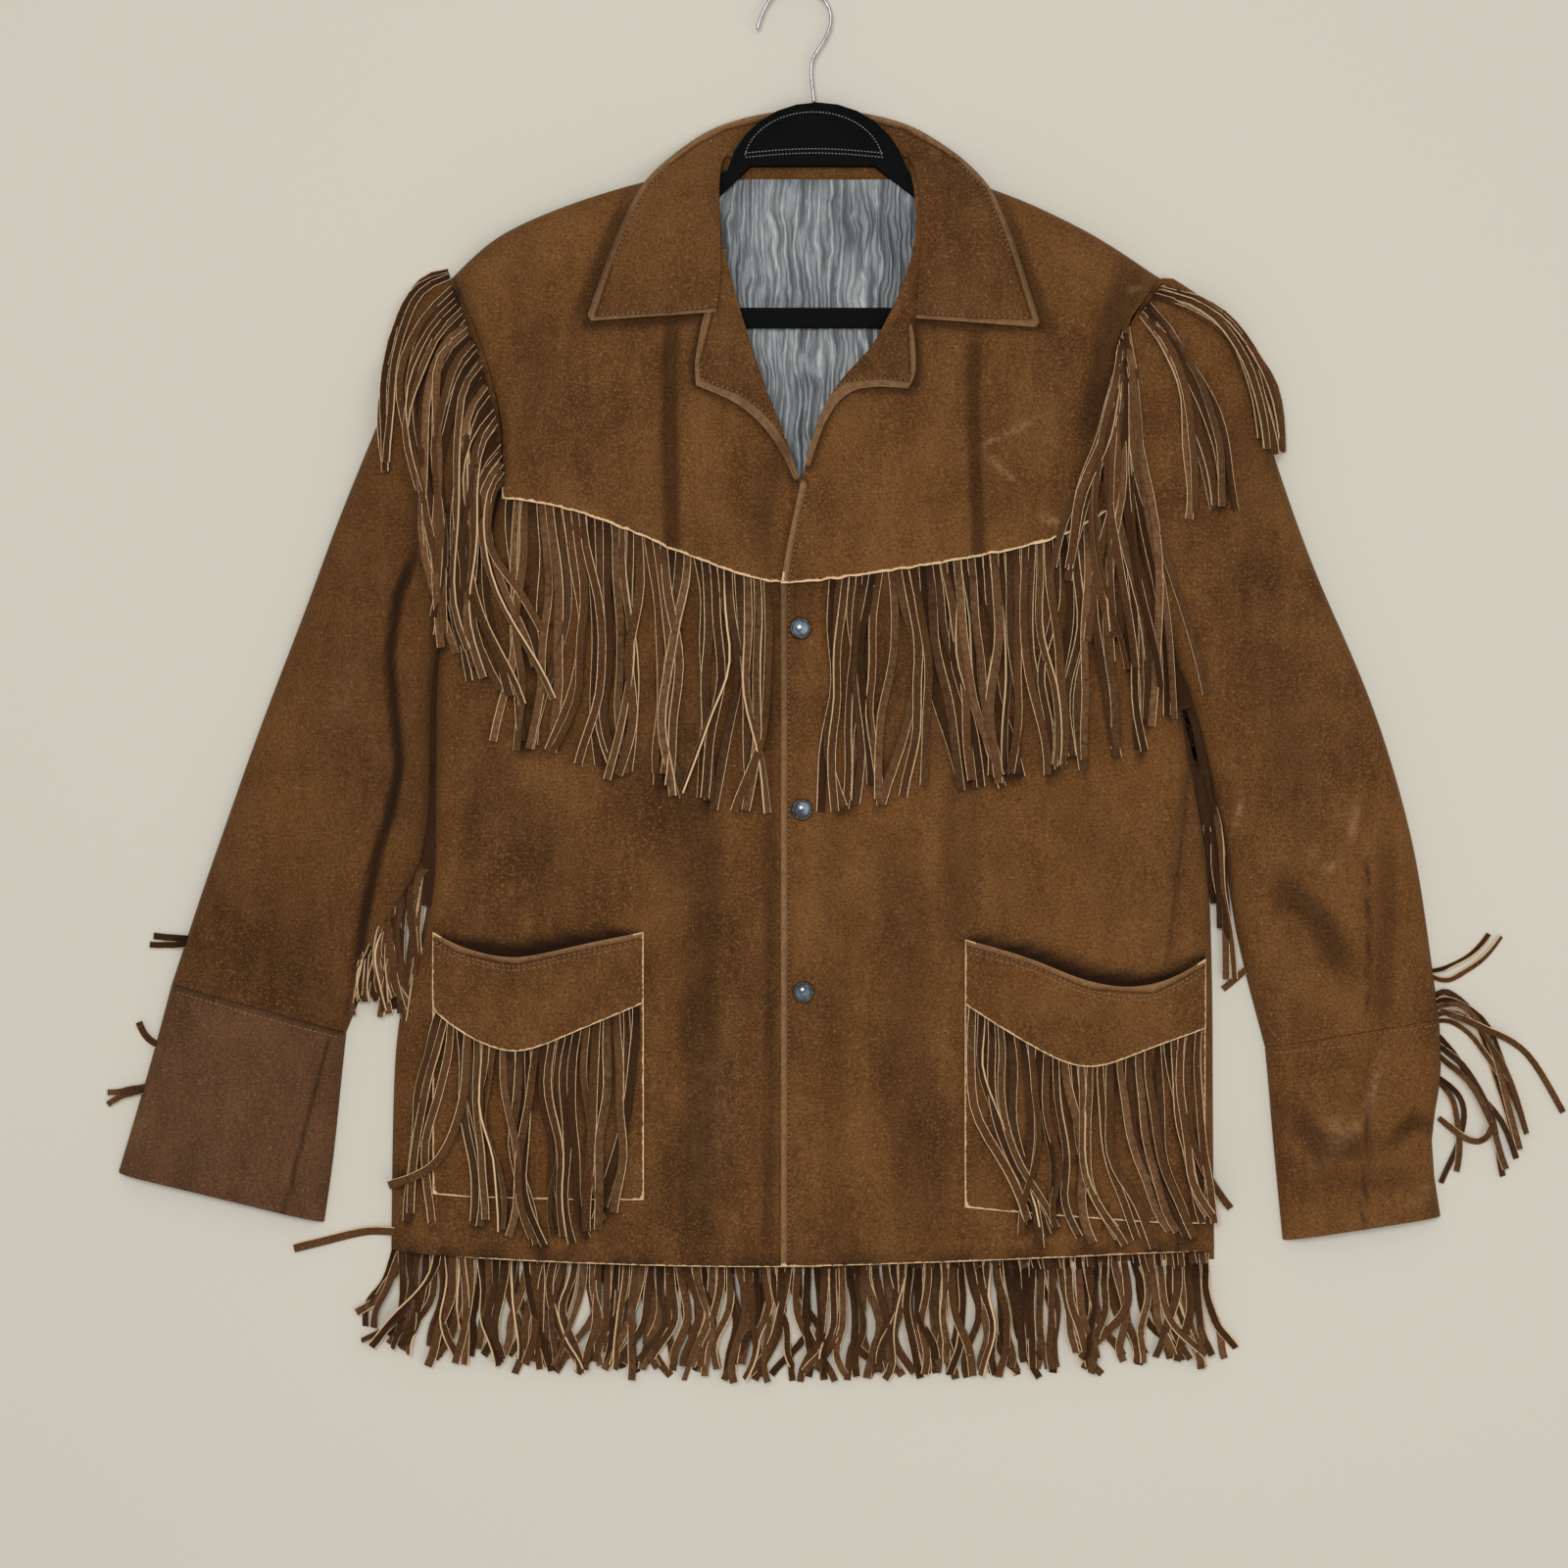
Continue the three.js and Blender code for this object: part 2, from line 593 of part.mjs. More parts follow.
const spread = (n) => Array.from({ length: n + 1 }, (_, i) => i / n);
const rise = (grid, height) => grid.map((row) => row.map((p) => p.setZ(height(p.x, p.y))));
const reversed = (shares) => shares.map((s) => 1 - s).reverse();

// Materials, from the photographed colours.
const suede = new THREE.MeshStandardMaterial({ color: "#5f3c1f", roughness: 0.95, metalness: 0 });
const lace = new THREE.MeshStandardMaterial({ color: "#6b4526", roughness: 0.95, metalness: 0 });
const satin = new THREE.MeshStandardMaterial({ color: "#77797a", roughness: 0.4, metalness: 0 });
const black = new THREE.MeshStandardMaterial({ color: "#131316", roughness: 0.6, metalness: 0 });
const steel = new THREE.MeshStandardMaterial({ color: "#7d8085", roughness: 0.3, metalness: 1 });
const gunmetal = new THREE.MeshStandardMaterial({ color: "#3a4048", roughness: 0.25, metalness: 1 });

// The back, one flat piece from hem to shoulders, which the garment rests on.
const levels = BODY.map((row) => (row.y - BODY[0].y) / (SHOULDER_TIP - BODY[0].y));
const sideEdge = (side, from, to) => (v) => {
  const y = mix(from, to, v);
  return [sideX(side, y), y];
};
const backGrid = patch(spread(12), levels, {
  bottom: (u) => {
    const x = mix(BODY[0].right, BODY[0].left, u);
    return [x, hemY(x)];
  },
  top: (u) => {
    const x = mix(BODY.at(-1).right, BODY.at(-1).left, u);
    return [x, shoulderY(x)];
  },
  start: sideEdge("right", hemY(BODY[0].right), SHOULDER_TIP),
  end: sideEdge("left", hemY(BODY[0].left), SHOULDER_TIP),
});
// The side points are put back on the levels of BODY, which the sleeves share.
backGrid.forEach((row, j) => {
  if (j === 0) return;
  row[0].set(BODY[j].right, BODY[j].y, 0);
  row.at(-1).set(BODY[j].left, BODY[j].y, 0);
});
add("back", wall(rise(backGrid, () => SUEDE), SUEDE, { straight: true }), suede);

// The lining, only where the open neck shows it.
const liningGrid = patch(spread(6), spread(7), {
  bottom: (u) => [mix(-40, 60, u), 120],
  top: (u) => [mix(-78, 96, u), 364],
  start: (v) => [mix(-40, -78, v), mix(120, 364, v)],
  end: (v) => [mix(60, 96, v), mix(120, 364, v)],
});
const liningTop = SUEDE + SEAM + LINING;
add("back_lining", wall(rise(liningGrid, () => liningTop), LINING, { straight: true }), satin);

// The sleeves, each an under piece flat on the floor and a top piece that rounds over it, with a cuff.
const armColumns = [0, 0.02, 0.09, 0.24, 0.5, 0.76, 0.91, 0.98, 1];
function sleeveRows(side) {
  const cap = CAPS[side].map((row, n) => {
    const level = BODY[BODY.length - 1 - n];
    const inner = level[side] + (side === "right" ? -SEAM : SEAM);
    return { ...row, innerX: inner, innerY: level.y, rim: level.rim };
  });
  return [...cap, ...ARMS[side].map((row) => ({ ...row, rim: FOLD }))].reverse();
}

// Points across a row of a sleeve, from the lower X to the higher.
function sleeveRow(side, row, columns) {
  const outer = new THREE.Vector3(row.outerX, row.outerY, 0);
  const inner = new THREE.Vector3(row.innerX, row.innerY, 0);
  const width = outer.distanceTo(inner);
  const shares = side === "right" ? columns : reversed(columns);
  return shares.map((u) => {
    const fromOuter = side === "right" ? u : 1 - u;
    const share = side === "right" ? u : 1 - u;
    const p = outer.clone().lerp(inner, share);
    const rim = mix(FOLD, row.rim ?? FOLD, fromOuter);
    const risen = roll(share * width, ARM_ROLL) * roll((1 - share) * width, ARM_ROLL);
    p.z = Math.max(rim + (row.loft - rim) * risen - creased(p.x, p.y) * risen, FOLD);
    return p;
  });
}

function sleeveHalf(side, rows, name) {
  const flat = rows.map((row) => sleeveRow(side, row, [0, 0.35, 0.65, 1]));
  add(`${name}_under_${side}`, wall(rise(flat, () => SUEDE), SUEDE, { straight: true }), suede);
  const domed = rows.map((row) => sleeveRow(side, row, armColumns));
  add(`${name}_top_${side}`, wall(domed, SUEDE, { floor: FOLD }), suede);
}

for (const side of ["right", "left"]) {
  sleeveHalf(side, sleeveRows(side), "sleeve");
  sleeveHalf(side, [...CUFFS[side]].reverse(), "cuff");
}

// The fronts, from the hem to just under the yokes. The left one lies over the right one.
const frontShares = [0, 0.012, 0.035, 0.08, 0.18, 0.3, 0.42, 0.54, 0.66, 0.78, 0.9, 1];
function frontGrid(side) {
  const isRight = side === "right";
  const inner = isRight ? UNDERLAP : FRONT_EDGE;
  const topRow = BODY[YOKE_END].y + YOKE_TAB;
  const tops = [...BODY.slice(0, YOKE_END + 1).map((row) => row.y), topRow];
  const vs = tops.map((y) => (y - tops[0]) / (topRow - tops[0]));
  const seam = sideEdge(side, tops[0], topRow);
  const centre = (v) => [inner, mix(hemY(inner), yokeY(inner) + YOKE_TAB, v)];
  const across = (u, edge) => (isRight ? mix(edge, inner, u) : mix(inner, edge, u));
  const hemEdge = BODY[0][side];
  const yokeEdge = sideX(side, topRow);
  const grid = patch(isRight ? frontShares : reversed(frontShares), vs, {
    bottom: (u) => [across(u, hemEdge), hemY(across(u, hemEdge))],
    top: (u) => [across(u, yokeEdge), yokeY(across(u, yokeEdge)) + YOKE_TAB],
    start: isRight ? seam : centre,
    end: isRight ? centre : seam,
  });
  return grid;
}
// A fringe: a narrow strip, and strands that leave its edge and lie on whatever is below them.
function fringe(name, { strands, width, uneven = 3, rows }, place, stripX, stripY, segments = 3, only = null) {
  const column = (key, share) => at(rows, "share", key, share);
  const root = (share) => {
    const [x, y] = place(...["rootX", "rootY"].map((key) => (key in rows[0] ? column(key, share) : 0)));
    return new THREE.Vector3(x, y, 0);
  };
  const points = [];
  const quads = [];
  const keep = (p) => points.push(p) - 1;
  const stripBack = new THREE.Vector3(stripX, stripY, 0);
  const edge = [];
  for (let n = 0; n < strands; n++)
    for (const side of [0.14, 0.86]) {
      const p = root(clamp((n + side) / strands, 0, 1));
      edge.push({ strand: n, low: p, high: p.clone().add(stripBack) });
    }
  const stripGrid = [edge.map((e) => e.low), edge.map((e) => e.high)];
  // The strip follows the order of its strands, which may run either way across it.
  const forward = edge[1].low.clone().sub(edge[0].low).cross(stripBack).z > 0;
  const strandGrids = [];
  for (let n = 0; n < strands; n++) {
    const share = (n + 0.5) / strands;
    const from = root(share);
    const wobble = Math.sin(n * 2.4) * 0.5 + Math.sin(n * 0.9);
    const to = new THREE.Vector3(column("tipX", share), column("tipY", share) + uneven * wobble, 0);
    const along = to.clone().sub(from).normalize();
    const sideways = new THREE.Vector3(-along.y, along.x, 0);
    const bow = column("bow", share);
    const grid = [[edge[2 * n].low, edge[2 * n + 1].low]];
    for (let s = 1; s <= segments; s++) {
      const t = s / segments;
      const centre = from.clone().lerp(to, t);
      centre.addScaledVector(sideways, bow * Math.sin(Math.PI * t ** 1.2));
      const half = sideways.clone().multiplyScalar((forward ? 1 : -1) * width * 0.5);
      grid.push([centre.clone().sub(half), centre.clone().add(half)]);
    }
    strandGrids.push(grid);
  }
  for (const grid of [stripGrid, ...strandGrids]) {
    rise(grid, (x, y) => coverAt(x, y, only) + SEAM + LACE);
    settle(grid, LACE, SEAM + 0.1, only);
  }
  // Each point once, then the quads, all facing up.
  const places = new Map();
  const indexOf = (p) => {
    if (!places.has(p)) places.set(p, keep(p));
    return places.get(p);
  };
  const face = (a, b, c, d) => {
    const ring = (forward ? [a, b, c, d] : [a, d, c, b]).map(indexOf);
    quads.push(ring);
  };
  for (let i = 0; i + 1 < edge.length; i++)
    face(stripGrid[0][i], stripGrid[0][i + 1], stripGrid[1][i + 1], stripGrid[1][i]);
  for (const grid of strandGrids)
    for (let s = 0; s < segments; s++) face(grid[s][0], grid[s + 1][0], grid[s + 1][1], grid[s][1]);
  const lower = points.map((p) => p.clone().addScaledVector(DOWN, LACE));
  add(`fringe_${name}`, closed(points, lower, quads), lace);
}

// The hanger: arms, bar and arched head cut from one plate, and its wire hook.
const plate = new THREE.Shape();
HANGER_OUTLINE.forEach((p, n) => (n ? plate.lineTo(p.x, p.y) : plate.moveTo(p.x, p.y)));
const archSteps = 12;
for (let n = 0; n <= archSteps; n++) {
  const angle = mix(0.22, Math.PI - 0.22, n / archSteps);
  plate.lineTo(
    HANGER_ARCH.x + HANGER_ARCH.halfWidth * Math.cos(angle),
    HANGER_ARCH.y + HANGER_ARCH.height * Math.sin(angle),
  );
}
plate.holes.push(new THREE.Path(HANGER_GAP.map((p) => new THREE.Vector2(p.x, p.y))));
const hangerBody = new THREE.ExtrudeGeometry(plate, { depth: HANGER_THICK, bevelEnabled: false });
hangerBody.translate(0, 0, HANGER_BASE);
add("hanger", hangerBody, black);

const wireRound = new THREE.Shape().absarc(0, 0, WIRE, 0, 2 * Math.PI);
const hookLevel = HANGER_BASE + HANGER_THICK / 2;
const hookPath = new THREE.CatmullRomCurve3(HOOK.map((p) => new THREE.Vector3(p.x, p.y, hookLevel)));
const hookForm = new THREE.ExtrudeGeometry(wireRound, {
  steps: 22,
  extrudePath: hookPath,
  bevelEnabled: false,
  curveSegments: 4,
});
add("hanger_hook", hookForm, steel);

// A yoke, from its pointed lower edge to the shoulder, with the neck's edge on its inner side.
const yokeShares = [0, 0.02, 0.07, 0.16, 0.28, 0.4, 0.52, 0.64, 0.76, 0.88, 1];
function yokeGrid(side) {
  const isRight = side === "right";
  const sideRows = BODY.slice(YOKE_END);
  const vs = sideRows.map((row) => (row.y - sideRows[0].y) / (SHOULDER_TIP - sideRows[0].y));
  const tops = [0.93, 0.97, 0.99];
  const steps = [...vs.slice(0, 1), 0.1, 0.2, ...vs.slice(1, -1), ...tops, 1].sort((a, b) => a - b);
  const armhole = sideEdge(side, sideRows[0].y, SHOULDER_TIP);
  const low = NECK[0];
  const neck = (v) => {
    const y = mix(yokeY(low[side]), NECK.at(-1).y, v);
    return [neckX(side, Math.max(y, low.y)), y];
  };
  const [a, b] = isRight ? [sideRows[0].right, low.right] : [low.left, sideRows[0].left];
  const topEnds = isRight
    ? [BODY.at(-1).right, NECK.at(-1).right]
    : [NECK.at(-1).left, BODY.at(-1).left];
  return patch(isRight ? yokeShares : reversed(yokeShares), steps, {
    bottom: (u) => [mix(a, b, u), yokeY(mix(a, b, u))],
    top: (u) => [mix(...topEnds, u), shoulderY(mix(...topEnds, u))],
    start: isRight ? armhole : neck,
    end: isRight ? neck : armhole,
  });
}

// The two sides of the body, right first, because the left front lies on top.
for (const side of ["right", "left"]) {
  const over = side === "left" ? overlapLift : () => 0;
  const front = rise(frontGrid(side), (x, y) => frontTop(x, y) + over(x, y));
  const name = `front_${side}`;
  if (side === "left") settle(front, SUEDE, SEAM, ["front_right"]);
  add(name, wall(front, SUEDE, { floor: FOLD }), suede);
  fringe(`yoke_${side}`, FRINGES[`yoke_${side}`], (x) => [x, yokeY(x) - 1], 0, STRIP);
  const yoke = rise(yokeGrid(side), (x, y) => frontTop(x, y) + over(x, y) + yokeLift(x, y));
  settle(yoke, SUEDE, 0.4);
  add(`yoke_${side}`, wall(yoke, SUEDE, { floor: FOLD }), suede);
}

// The lapels, turned back on the yokes along their roll lines.
for (const side of ["right", "left"]) {
  const rows = LAPELS[side];
  const columns = side === "right" ? [0, 0.33, 0.67, 1] : [1, 0.67, 0.33, 0];
  const grid = rows.map((row) =>
    columns.map((u) => {
      const x = mix(row.outX, row.rollX, u);
      const y = mix(row.outY, row.rollY, u);
      const yokeTop = frontTop(x, y) + (side === "left" ? overlapLift(x, y) : 0);
      return new THREE.Vector3(x, y, yokeTop + SEAM + SUEDE + 1.5 * u);
    }),
  );
  add(`lapel_${side}`, wall(settle(grid, SUEDE), SUEDE, { straight: true }), suede);
}

// The collar: two wings on the yokes, joined behind the neck by the low band under the hanger's head.
const collarGrid = [0, 0.25, 0.5, 0.75, 1].map((u) =>
  COLLAR.map(
    (row) =>
      new THREE.Vector3(
        mix(row.inX, row.outX, u),
        mix(row.inY, row.outY, u),
        mix(row.inZ, row.outZ, u) + 2 * Math.sin(Math.PI * u) * ease(row.outZ, 8, 20),
      ),
  ),
);
settle(collarGrid, SUEDE, SEAM, ["back", "yoke_right", "yoke_left", "lapel_right", "lapel_left"]);
add("collar", wall(collarGrid, SUEDE, { straight: true }), suede);

// The pockets: the patch with its gaping mouth, its fringe, and the pointed band over both.
for (const side of ["right", "left"]) {
  const rows = POCKETS[side];
  const [first, last] = [rows[0].x, rows.at(-1).x];
  const line = (key) => (u) => {
    const x = mix(first, last, u);
    return [x, at(rows, "x", key, x)];
  };
  const edge = (x, low, high) => (v) => [x, mix(low, high, v)];
  const gape = (x, y) => {
    const across = clamp((x - first) / (last - first), 0, 1);
    const down = clamp((at(rows, "x", "mouth", x) - y) / POCKET_SLACK, 0, 1);
    return POCKET_GAPE * Math.sin(Math.PI * across) ** 0.7 * (1 - down) ** 1.5;
  };
  const shares = [0, 0.05, 0.15, 0.3, 0.42, 0.55, 0.7, 0.85, 0.95, 1];
  const patchGrid = patch(shares, [0, 0.3, 0.6, 0.75, 0.9, 1], {
    bottom: line("bottom"),
    top: line("mouth"),
    start: edge(first, rows[0].bottom, rows[0].mouth),
    end: edge(last, rows.at(-1).bottom, rows.at(-1).mouth),
  });
  rise(patchGrid, (x, y) => coverAt(x, y) + SEAM + SUEDE + gape(x, y));
  add(`pocket_${side}`, wall(settle(patchGrid, SUEDE), SUEDE, { straight: true }), suede);
  const bandEdge = (x) => at(rows, "x", "band", x);
  fringe(`pocket_${side}`, FRINGES[`pocket_${side}`], (x) => [x, bandEdge(x) - 1], 0, STRIP);
  const bandGrid = patch(shares, [0, 0.12, 0.45, 0.75, 1], {
    bottom: line("band"),
    top: line("mouth"),
    start: edge(first, rows[0].band, rows[0].mouth),
    end: edge(last, rows.at(-1).band, rows.at(-1).mouth),
  });
  rise(bandGrid, (x, y) => coverAt(x, y) + SEAM + SUEDE);
  add(`pocket_band_${side}`, wall(settle(bandGrid, SUEDE), SUEDE, { straight: true }), suede);
}

// The fringes at the hem, sleeves and armholes. Those on the sleeves keep to the sleeves' edges.
const hemRoot = (off) => (x) => [x, hemY(x) + off];
fringe("hem_back", FRINGES.hem_back, hemRoot(-1 - STRIP), 0, STRIP - SEAM, 2, ["back"]);
const belowHem = ["back", "fringe_hem_back"];
fringe("hem_front", FRINGES.hem_front, hemRoot(1), 0, STRIP, 2, belowHem);
const EDGE_STRIP = 3; // width of the strips along the sleeves' edges
const edgeRoot = (side, key, off) => (x, y) => {
  const rows = [...ARMS[side], ...CUFFS[side]];
  return [at(rows, `${key}Y`, `${key}X`, y, false) + off, y];
};
const seat = EDGE_STRIP + SEAM;
const onFloor = [];
fringe("sleeve_right", FRINGES.sleeve_right, edgeRoot("right", "outer", -seat), EDGE_STRIP, 0, 2, onFloor);
const innerRoot = edgeRoot("right", "inner", seat);
fringe("sleeve_right_inner", FRINGES.sleeve_right_inner, innerRoot, -EDGE_STRIP, 0, 2, onFloor);
fringe("sleeve_left", FRINGES.sleeve_left, edgeRoot("left", "outer", seat), -EDGE_STRIP, 0, 3, onFloor);
const fromTable = (x, y) => [x, y];
fringe("armhole_right", FRINGES.armhole_right, fromTable, 4, 2, 5);
fringe("armhole_left", FRINGES.armhole_left, fromTable, -4, 2, 5);

// The snaps on the front edge.
const snapProfile = [
  [0, 0],
  [SNAP_RADIUS, 0],
  [SNAP_RADIUS, 0.45 * SNAP_HEIGHT],
  [0.86 * SNAP_RADIUS, 0.78 * SNAP_HEIGHT],
  [0.45 * SNAP_RADIUS, SNAP_HEIGHT],
  [0, SNAP_HEIGHT],
].map(([r, z]) => new THREE.Vector2(r, z));
SNAP_PLACES.forEach((y, n) => {
  const x = -2 + n;
  let level = 0;
  for (let a = 0; a < 16; a++)
    for (const share of [0, 0.5, 1]) {
      const angle = (a / 16) * 2 * Math.PI;
      const r = share * SNAP_RADIUS;
      level = Math.max(level, topAt(x + r * Math.cos(angle), y + r * Math.sin(angle)));
    }
  const snap = new THREE.LatheGeometry(snapProfile, 20);
  snap.rotateX(Math.PI / 2);
  snap.translate(x, y, level + 0.3);
  add(`snap_${n + 1}`, snap, gunmetal);
});

export default jacket;
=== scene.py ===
"""A fringed suede western jacket, snapped shut and laid on its back, with a hanger in its neck.

Metres, +Z up, X to the wearer's left sleeve, Y to the collar. Right and left are the wearer's.
"""

import math
import random

import bmesh
import bpy
import numpy as np
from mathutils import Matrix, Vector, noise
from mathutils.bvhtree import BVHTree


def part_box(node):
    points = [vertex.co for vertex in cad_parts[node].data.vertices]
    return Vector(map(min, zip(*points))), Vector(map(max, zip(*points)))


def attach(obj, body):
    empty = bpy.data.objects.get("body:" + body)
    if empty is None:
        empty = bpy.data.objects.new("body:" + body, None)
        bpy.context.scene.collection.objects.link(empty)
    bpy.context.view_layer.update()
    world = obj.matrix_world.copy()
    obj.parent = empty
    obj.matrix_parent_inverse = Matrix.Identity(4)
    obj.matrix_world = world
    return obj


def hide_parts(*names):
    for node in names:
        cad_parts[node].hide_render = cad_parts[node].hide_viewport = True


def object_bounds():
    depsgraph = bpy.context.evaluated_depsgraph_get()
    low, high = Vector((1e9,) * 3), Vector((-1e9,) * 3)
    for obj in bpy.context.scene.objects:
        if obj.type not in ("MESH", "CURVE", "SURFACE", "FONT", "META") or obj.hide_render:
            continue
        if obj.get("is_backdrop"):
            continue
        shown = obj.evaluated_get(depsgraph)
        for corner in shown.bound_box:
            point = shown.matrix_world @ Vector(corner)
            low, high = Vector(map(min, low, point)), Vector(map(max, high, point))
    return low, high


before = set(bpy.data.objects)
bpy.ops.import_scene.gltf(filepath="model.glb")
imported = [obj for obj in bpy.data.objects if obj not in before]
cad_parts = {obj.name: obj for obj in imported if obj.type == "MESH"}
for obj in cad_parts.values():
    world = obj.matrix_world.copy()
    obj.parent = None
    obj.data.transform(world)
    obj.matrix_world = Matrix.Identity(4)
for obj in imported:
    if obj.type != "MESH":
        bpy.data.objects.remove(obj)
for name in ("Cube", "Light", "Camera"):
    if name in bpy.data.objects:
        bpy.data.objects.remove(bpy.data.objects[name])
cad_box = [list(corner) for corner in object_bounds()]
bpy.ops.object.select_all(action="DESELECT")

# The hide. Split suede, dyed brown, with a short nap that brushes lighter and darker, small pale
# specks, tan where an edge is rubbed and nearly raw where it was cut. Every panel is cut from it.
HIDE = (0.122, 0.048, 0.0118)
HIDE_DARK = (0.04, 0.0148, 0.004)
HIDE_BRUSHED = (0.22, 0.099, 0.031)
RUBBED = (0.3, 0.17, 0.082)
RAW_EDGE = (0.68, 0.47, 0.26)
# Painted shade: the near-black brown mixed in where a piece's shade attribute or a turned edge's groove
# paints shade.
SHADE_BROWN = (0.016, 0.006, 0.002)
NAP_LENGTH = 0.0004
EDGE_HEIGHT = 0.0016


def put(tree, kind, settings=None, **sockets):
    """One node, with its settings, and its sockets set to values or joined to other sockets."""
    made = tree.nodes.new(kind)
    for key, value in (settings or {}).items():
        setattr(made, key, value)
    for key, value in sockets.items():
        socket = made.inputs[int(key[1:])] if key[1:].isdigit() else made.inputs[key.replace("_", " ")]
        if isinstance(value, bpy.types.NodeSocket):
            tree.links.new(value, socket)
        elif isinstance(value, tuple) and len(value) == 3 and socket.type == "RGBA":
            socket.default_value = (*value, 1)
        else:
            socket.default_value = value
    return made


def blend_colour(tree, share, first, second):
    return put(tree, "ShaderNodeMix", {"data_type": "RGBA"}, s0=share, s6=first, s7=second).outputs[2]


def ramp(tree, value, low, high, start=0.0, end=1.0):
    return put(tree, "ShaderNodeMapRange", None, s0=value, s1=low, s2=high, s3=start, s4=end).outputs[0]


def times(tree, first, second):
    return put(tree, "ShaderNodeMath", {"operation": "MULTIPLY"}, s0=first, s1=second).outputs[0]


def times_plus(tree, first, second, added):
    settings = {"operation": "MULTIPLY_ADD"}
    return put(tree, "ShaderNodeMath", settings, s0=first, s1=second, s2=added).outputs[0]


def noisy(tree, where, scale, detail=3.0, rough=0.55):
    made = put(tree, "ShaderNodeTexNoise", None, Vector=where, Scale=scale, Detail=detail, Roughness=rough)
    return made.outputs["Fac"]


def object_place(tree):
    return put(tree, "ShaderNodeTexCoord").outputs["Object"]


def stretched(tree, place, scale, turn=0.0):
    turned_by = (0.0, 0.0, turn)
    return put(tree, "ShaderNodeMapping", None, Vector=place, Scale=scale, Rotation=turned_by).outputs[0]


nap = bpy.data.node_groups.new("suede nap", "ShaderNodeTree")
for label, kind, value in (
    ("Hide", "NodeSocketColor", (*HIDE, 1)),
    ("Dark", "NodeSocketColor", (*HIDE_DARK, 1)),
    ("Brushed", "NodeSocketColor", (*HIDE_BRUSHED, 1)),
    ("Piece", "NodeSocketFloat", 0.0),
    ("Blotches", "NodeSocketFloat", 1.0),
):
    nap.interface.new_socket(label, in_out="INPUT", socket_type=kind).default_value = value
for label, kind in (
    ("Colour", "NodeSocketColor"),
    ("Roughness", "NodeSocketFloat"),
    ("Height", "NodeSocketFloat"),
):
    nap.interface.new_socket(label, in_out="OUTPUT", socket_type=kind)
given = nap.nodes.new("NodeGroupInput").outputs
where = object_place(nap)
apart = put(nap, "ShaderNodeCombineXYZ", None, X=given["Piece"], Y=given["Piece"], Z=given["Piece"])
where = put(nap, "ShaderNodeVectorMath", {"operation": "ADD"}, s0=where, s1=apart.outputs[0]).outputs[0]
clouds = ramp(nap, noisy(nap, where, 7.0, 4.0, 0.6), 0.36, 0.62)
blotches = ramp(nap, noisy(nap, where, 26.0, 5.0, 0.62), 0.42, 0.72)
brushed = ramp(nap, noisy(nap, stretched(nap, where, (95.0, 20.0, 60.0), 0.16), 1.0, 4.0, 0.6), 0.45, 0.75)
grain = noisy(nap, where, 620.0, 3.0, 0.75)
fluff = noisy(nap, where, 1500.0, 2.0, 0.7)
specks = ramp(nap, noisy(nap, where, 430.0, 1.0, 0.4), 0.7, 0.75)
tone = blend_colour(nap, times(nap, clouds, given["Blotches"]), given["Dark"], given["Hide"])
tone = blend_colour(nap, 0.75, given["Hide"], tone)
tone = blend_colour(nap, times(nap, blotches, 0.4), tone, given["Brushed"])
tone = blend_colour(nap, times(nap, brushed, 0.3), tone, given["Brushed"])
tone = blend_colour(nap, ramp(nap, grain, 0.3, 0.5, 0.75, 0.0), tone, given["Dark"])
tone = blend_colour(nap, ramp(nap, grain, 0.52, 0.7, 0.0, 0.85), tone, given["Brushed"])
tone = blend_colour(nap, times(nap, specks, 0.36), tone, (*RUBBED, 1))
height = times_plus(nap, noisy(nap, where, 130.0), 1.2, times_plus(nap, fluff, 0.5, grain))
kept = nap.nodes.new("NodeGroupOutput")
nap.links.new(tone, kept.inputs["Colour"])
nap.links.new(ramp(nap, grain, 0.3, 0.7, 0.96, 0.8), kept.inputs["Roughness"])
nap.links.new(height, kept.inputs["Height"])

# The turned edge: a bead and a groove for the bump, the tan of the rubbed edge, and the painted shade that
# darkens the groove.
turned = bpy.data.node_groups.new("turned edge", "ShaderNodeTree")
turned.interface.new_socket("Near", in_out="INPUT", socket_type="NodeSocketFloat")
for label in ("Height", "Rubbed", "GrooveShade"):
    turned.interface.new_socket(label, in_out="OUTPUT", socket_type="NodeSocketFloat")
near = turned.nodes.new("NodeGroupInput").outputs["Near"]
kept = turned.nodes.new("NodeGroupOutput")
for label, stops in (
    ("Height", ((0.0, 0.5), (0.5, 0.5), (0.56, 0.25), (0.63, 0.66), (0.78, 1.0), (0.9, 0.85), (1.0, 0.3))),
    ("Rubbed", ((0.0, 0.0), (0.62, 0.0), (0.74, 0.5), (1.0, 1.0))),
    ("GrooveShade", ((0.0, 0.0), (0.49, 0.0), (0.555, 0.55), (0.62, 0.0), (1.0, 0.0))),
):
    curve = put(turned, "ShaderNodeValToRGB", None, Fac=near)
    stop_list = curve.color_ramp.elements
    while len(stop_list) < len(stops):
        stop_list.new(0.5)
    for stop, (at, level) in zip(stop_list, stops):
        stop.position = at
        stop.color = (level, level, level, 1)
    turned.links.new(curve.outputs["Color"], kept.inputs[label])


def new_finish(name):
    """A new material, with its tree and its shader."""
    made = bpy.data.materials.new(name)
    made.use_nodes = True
    return made, made.node_tree, made.node_tree.nodes["Principled BSDF"]


def settle(node, **values):
    """Sets sockets of a node to values that are the same all over."""
    for key, value in values.items():
        node.inputs[key.replace("_", " ")].default_value = value


def marked(tree, name):
    return put(tree, "ShaderNodeAttribute", {"attribute_name": name}).outputs["Fac"]


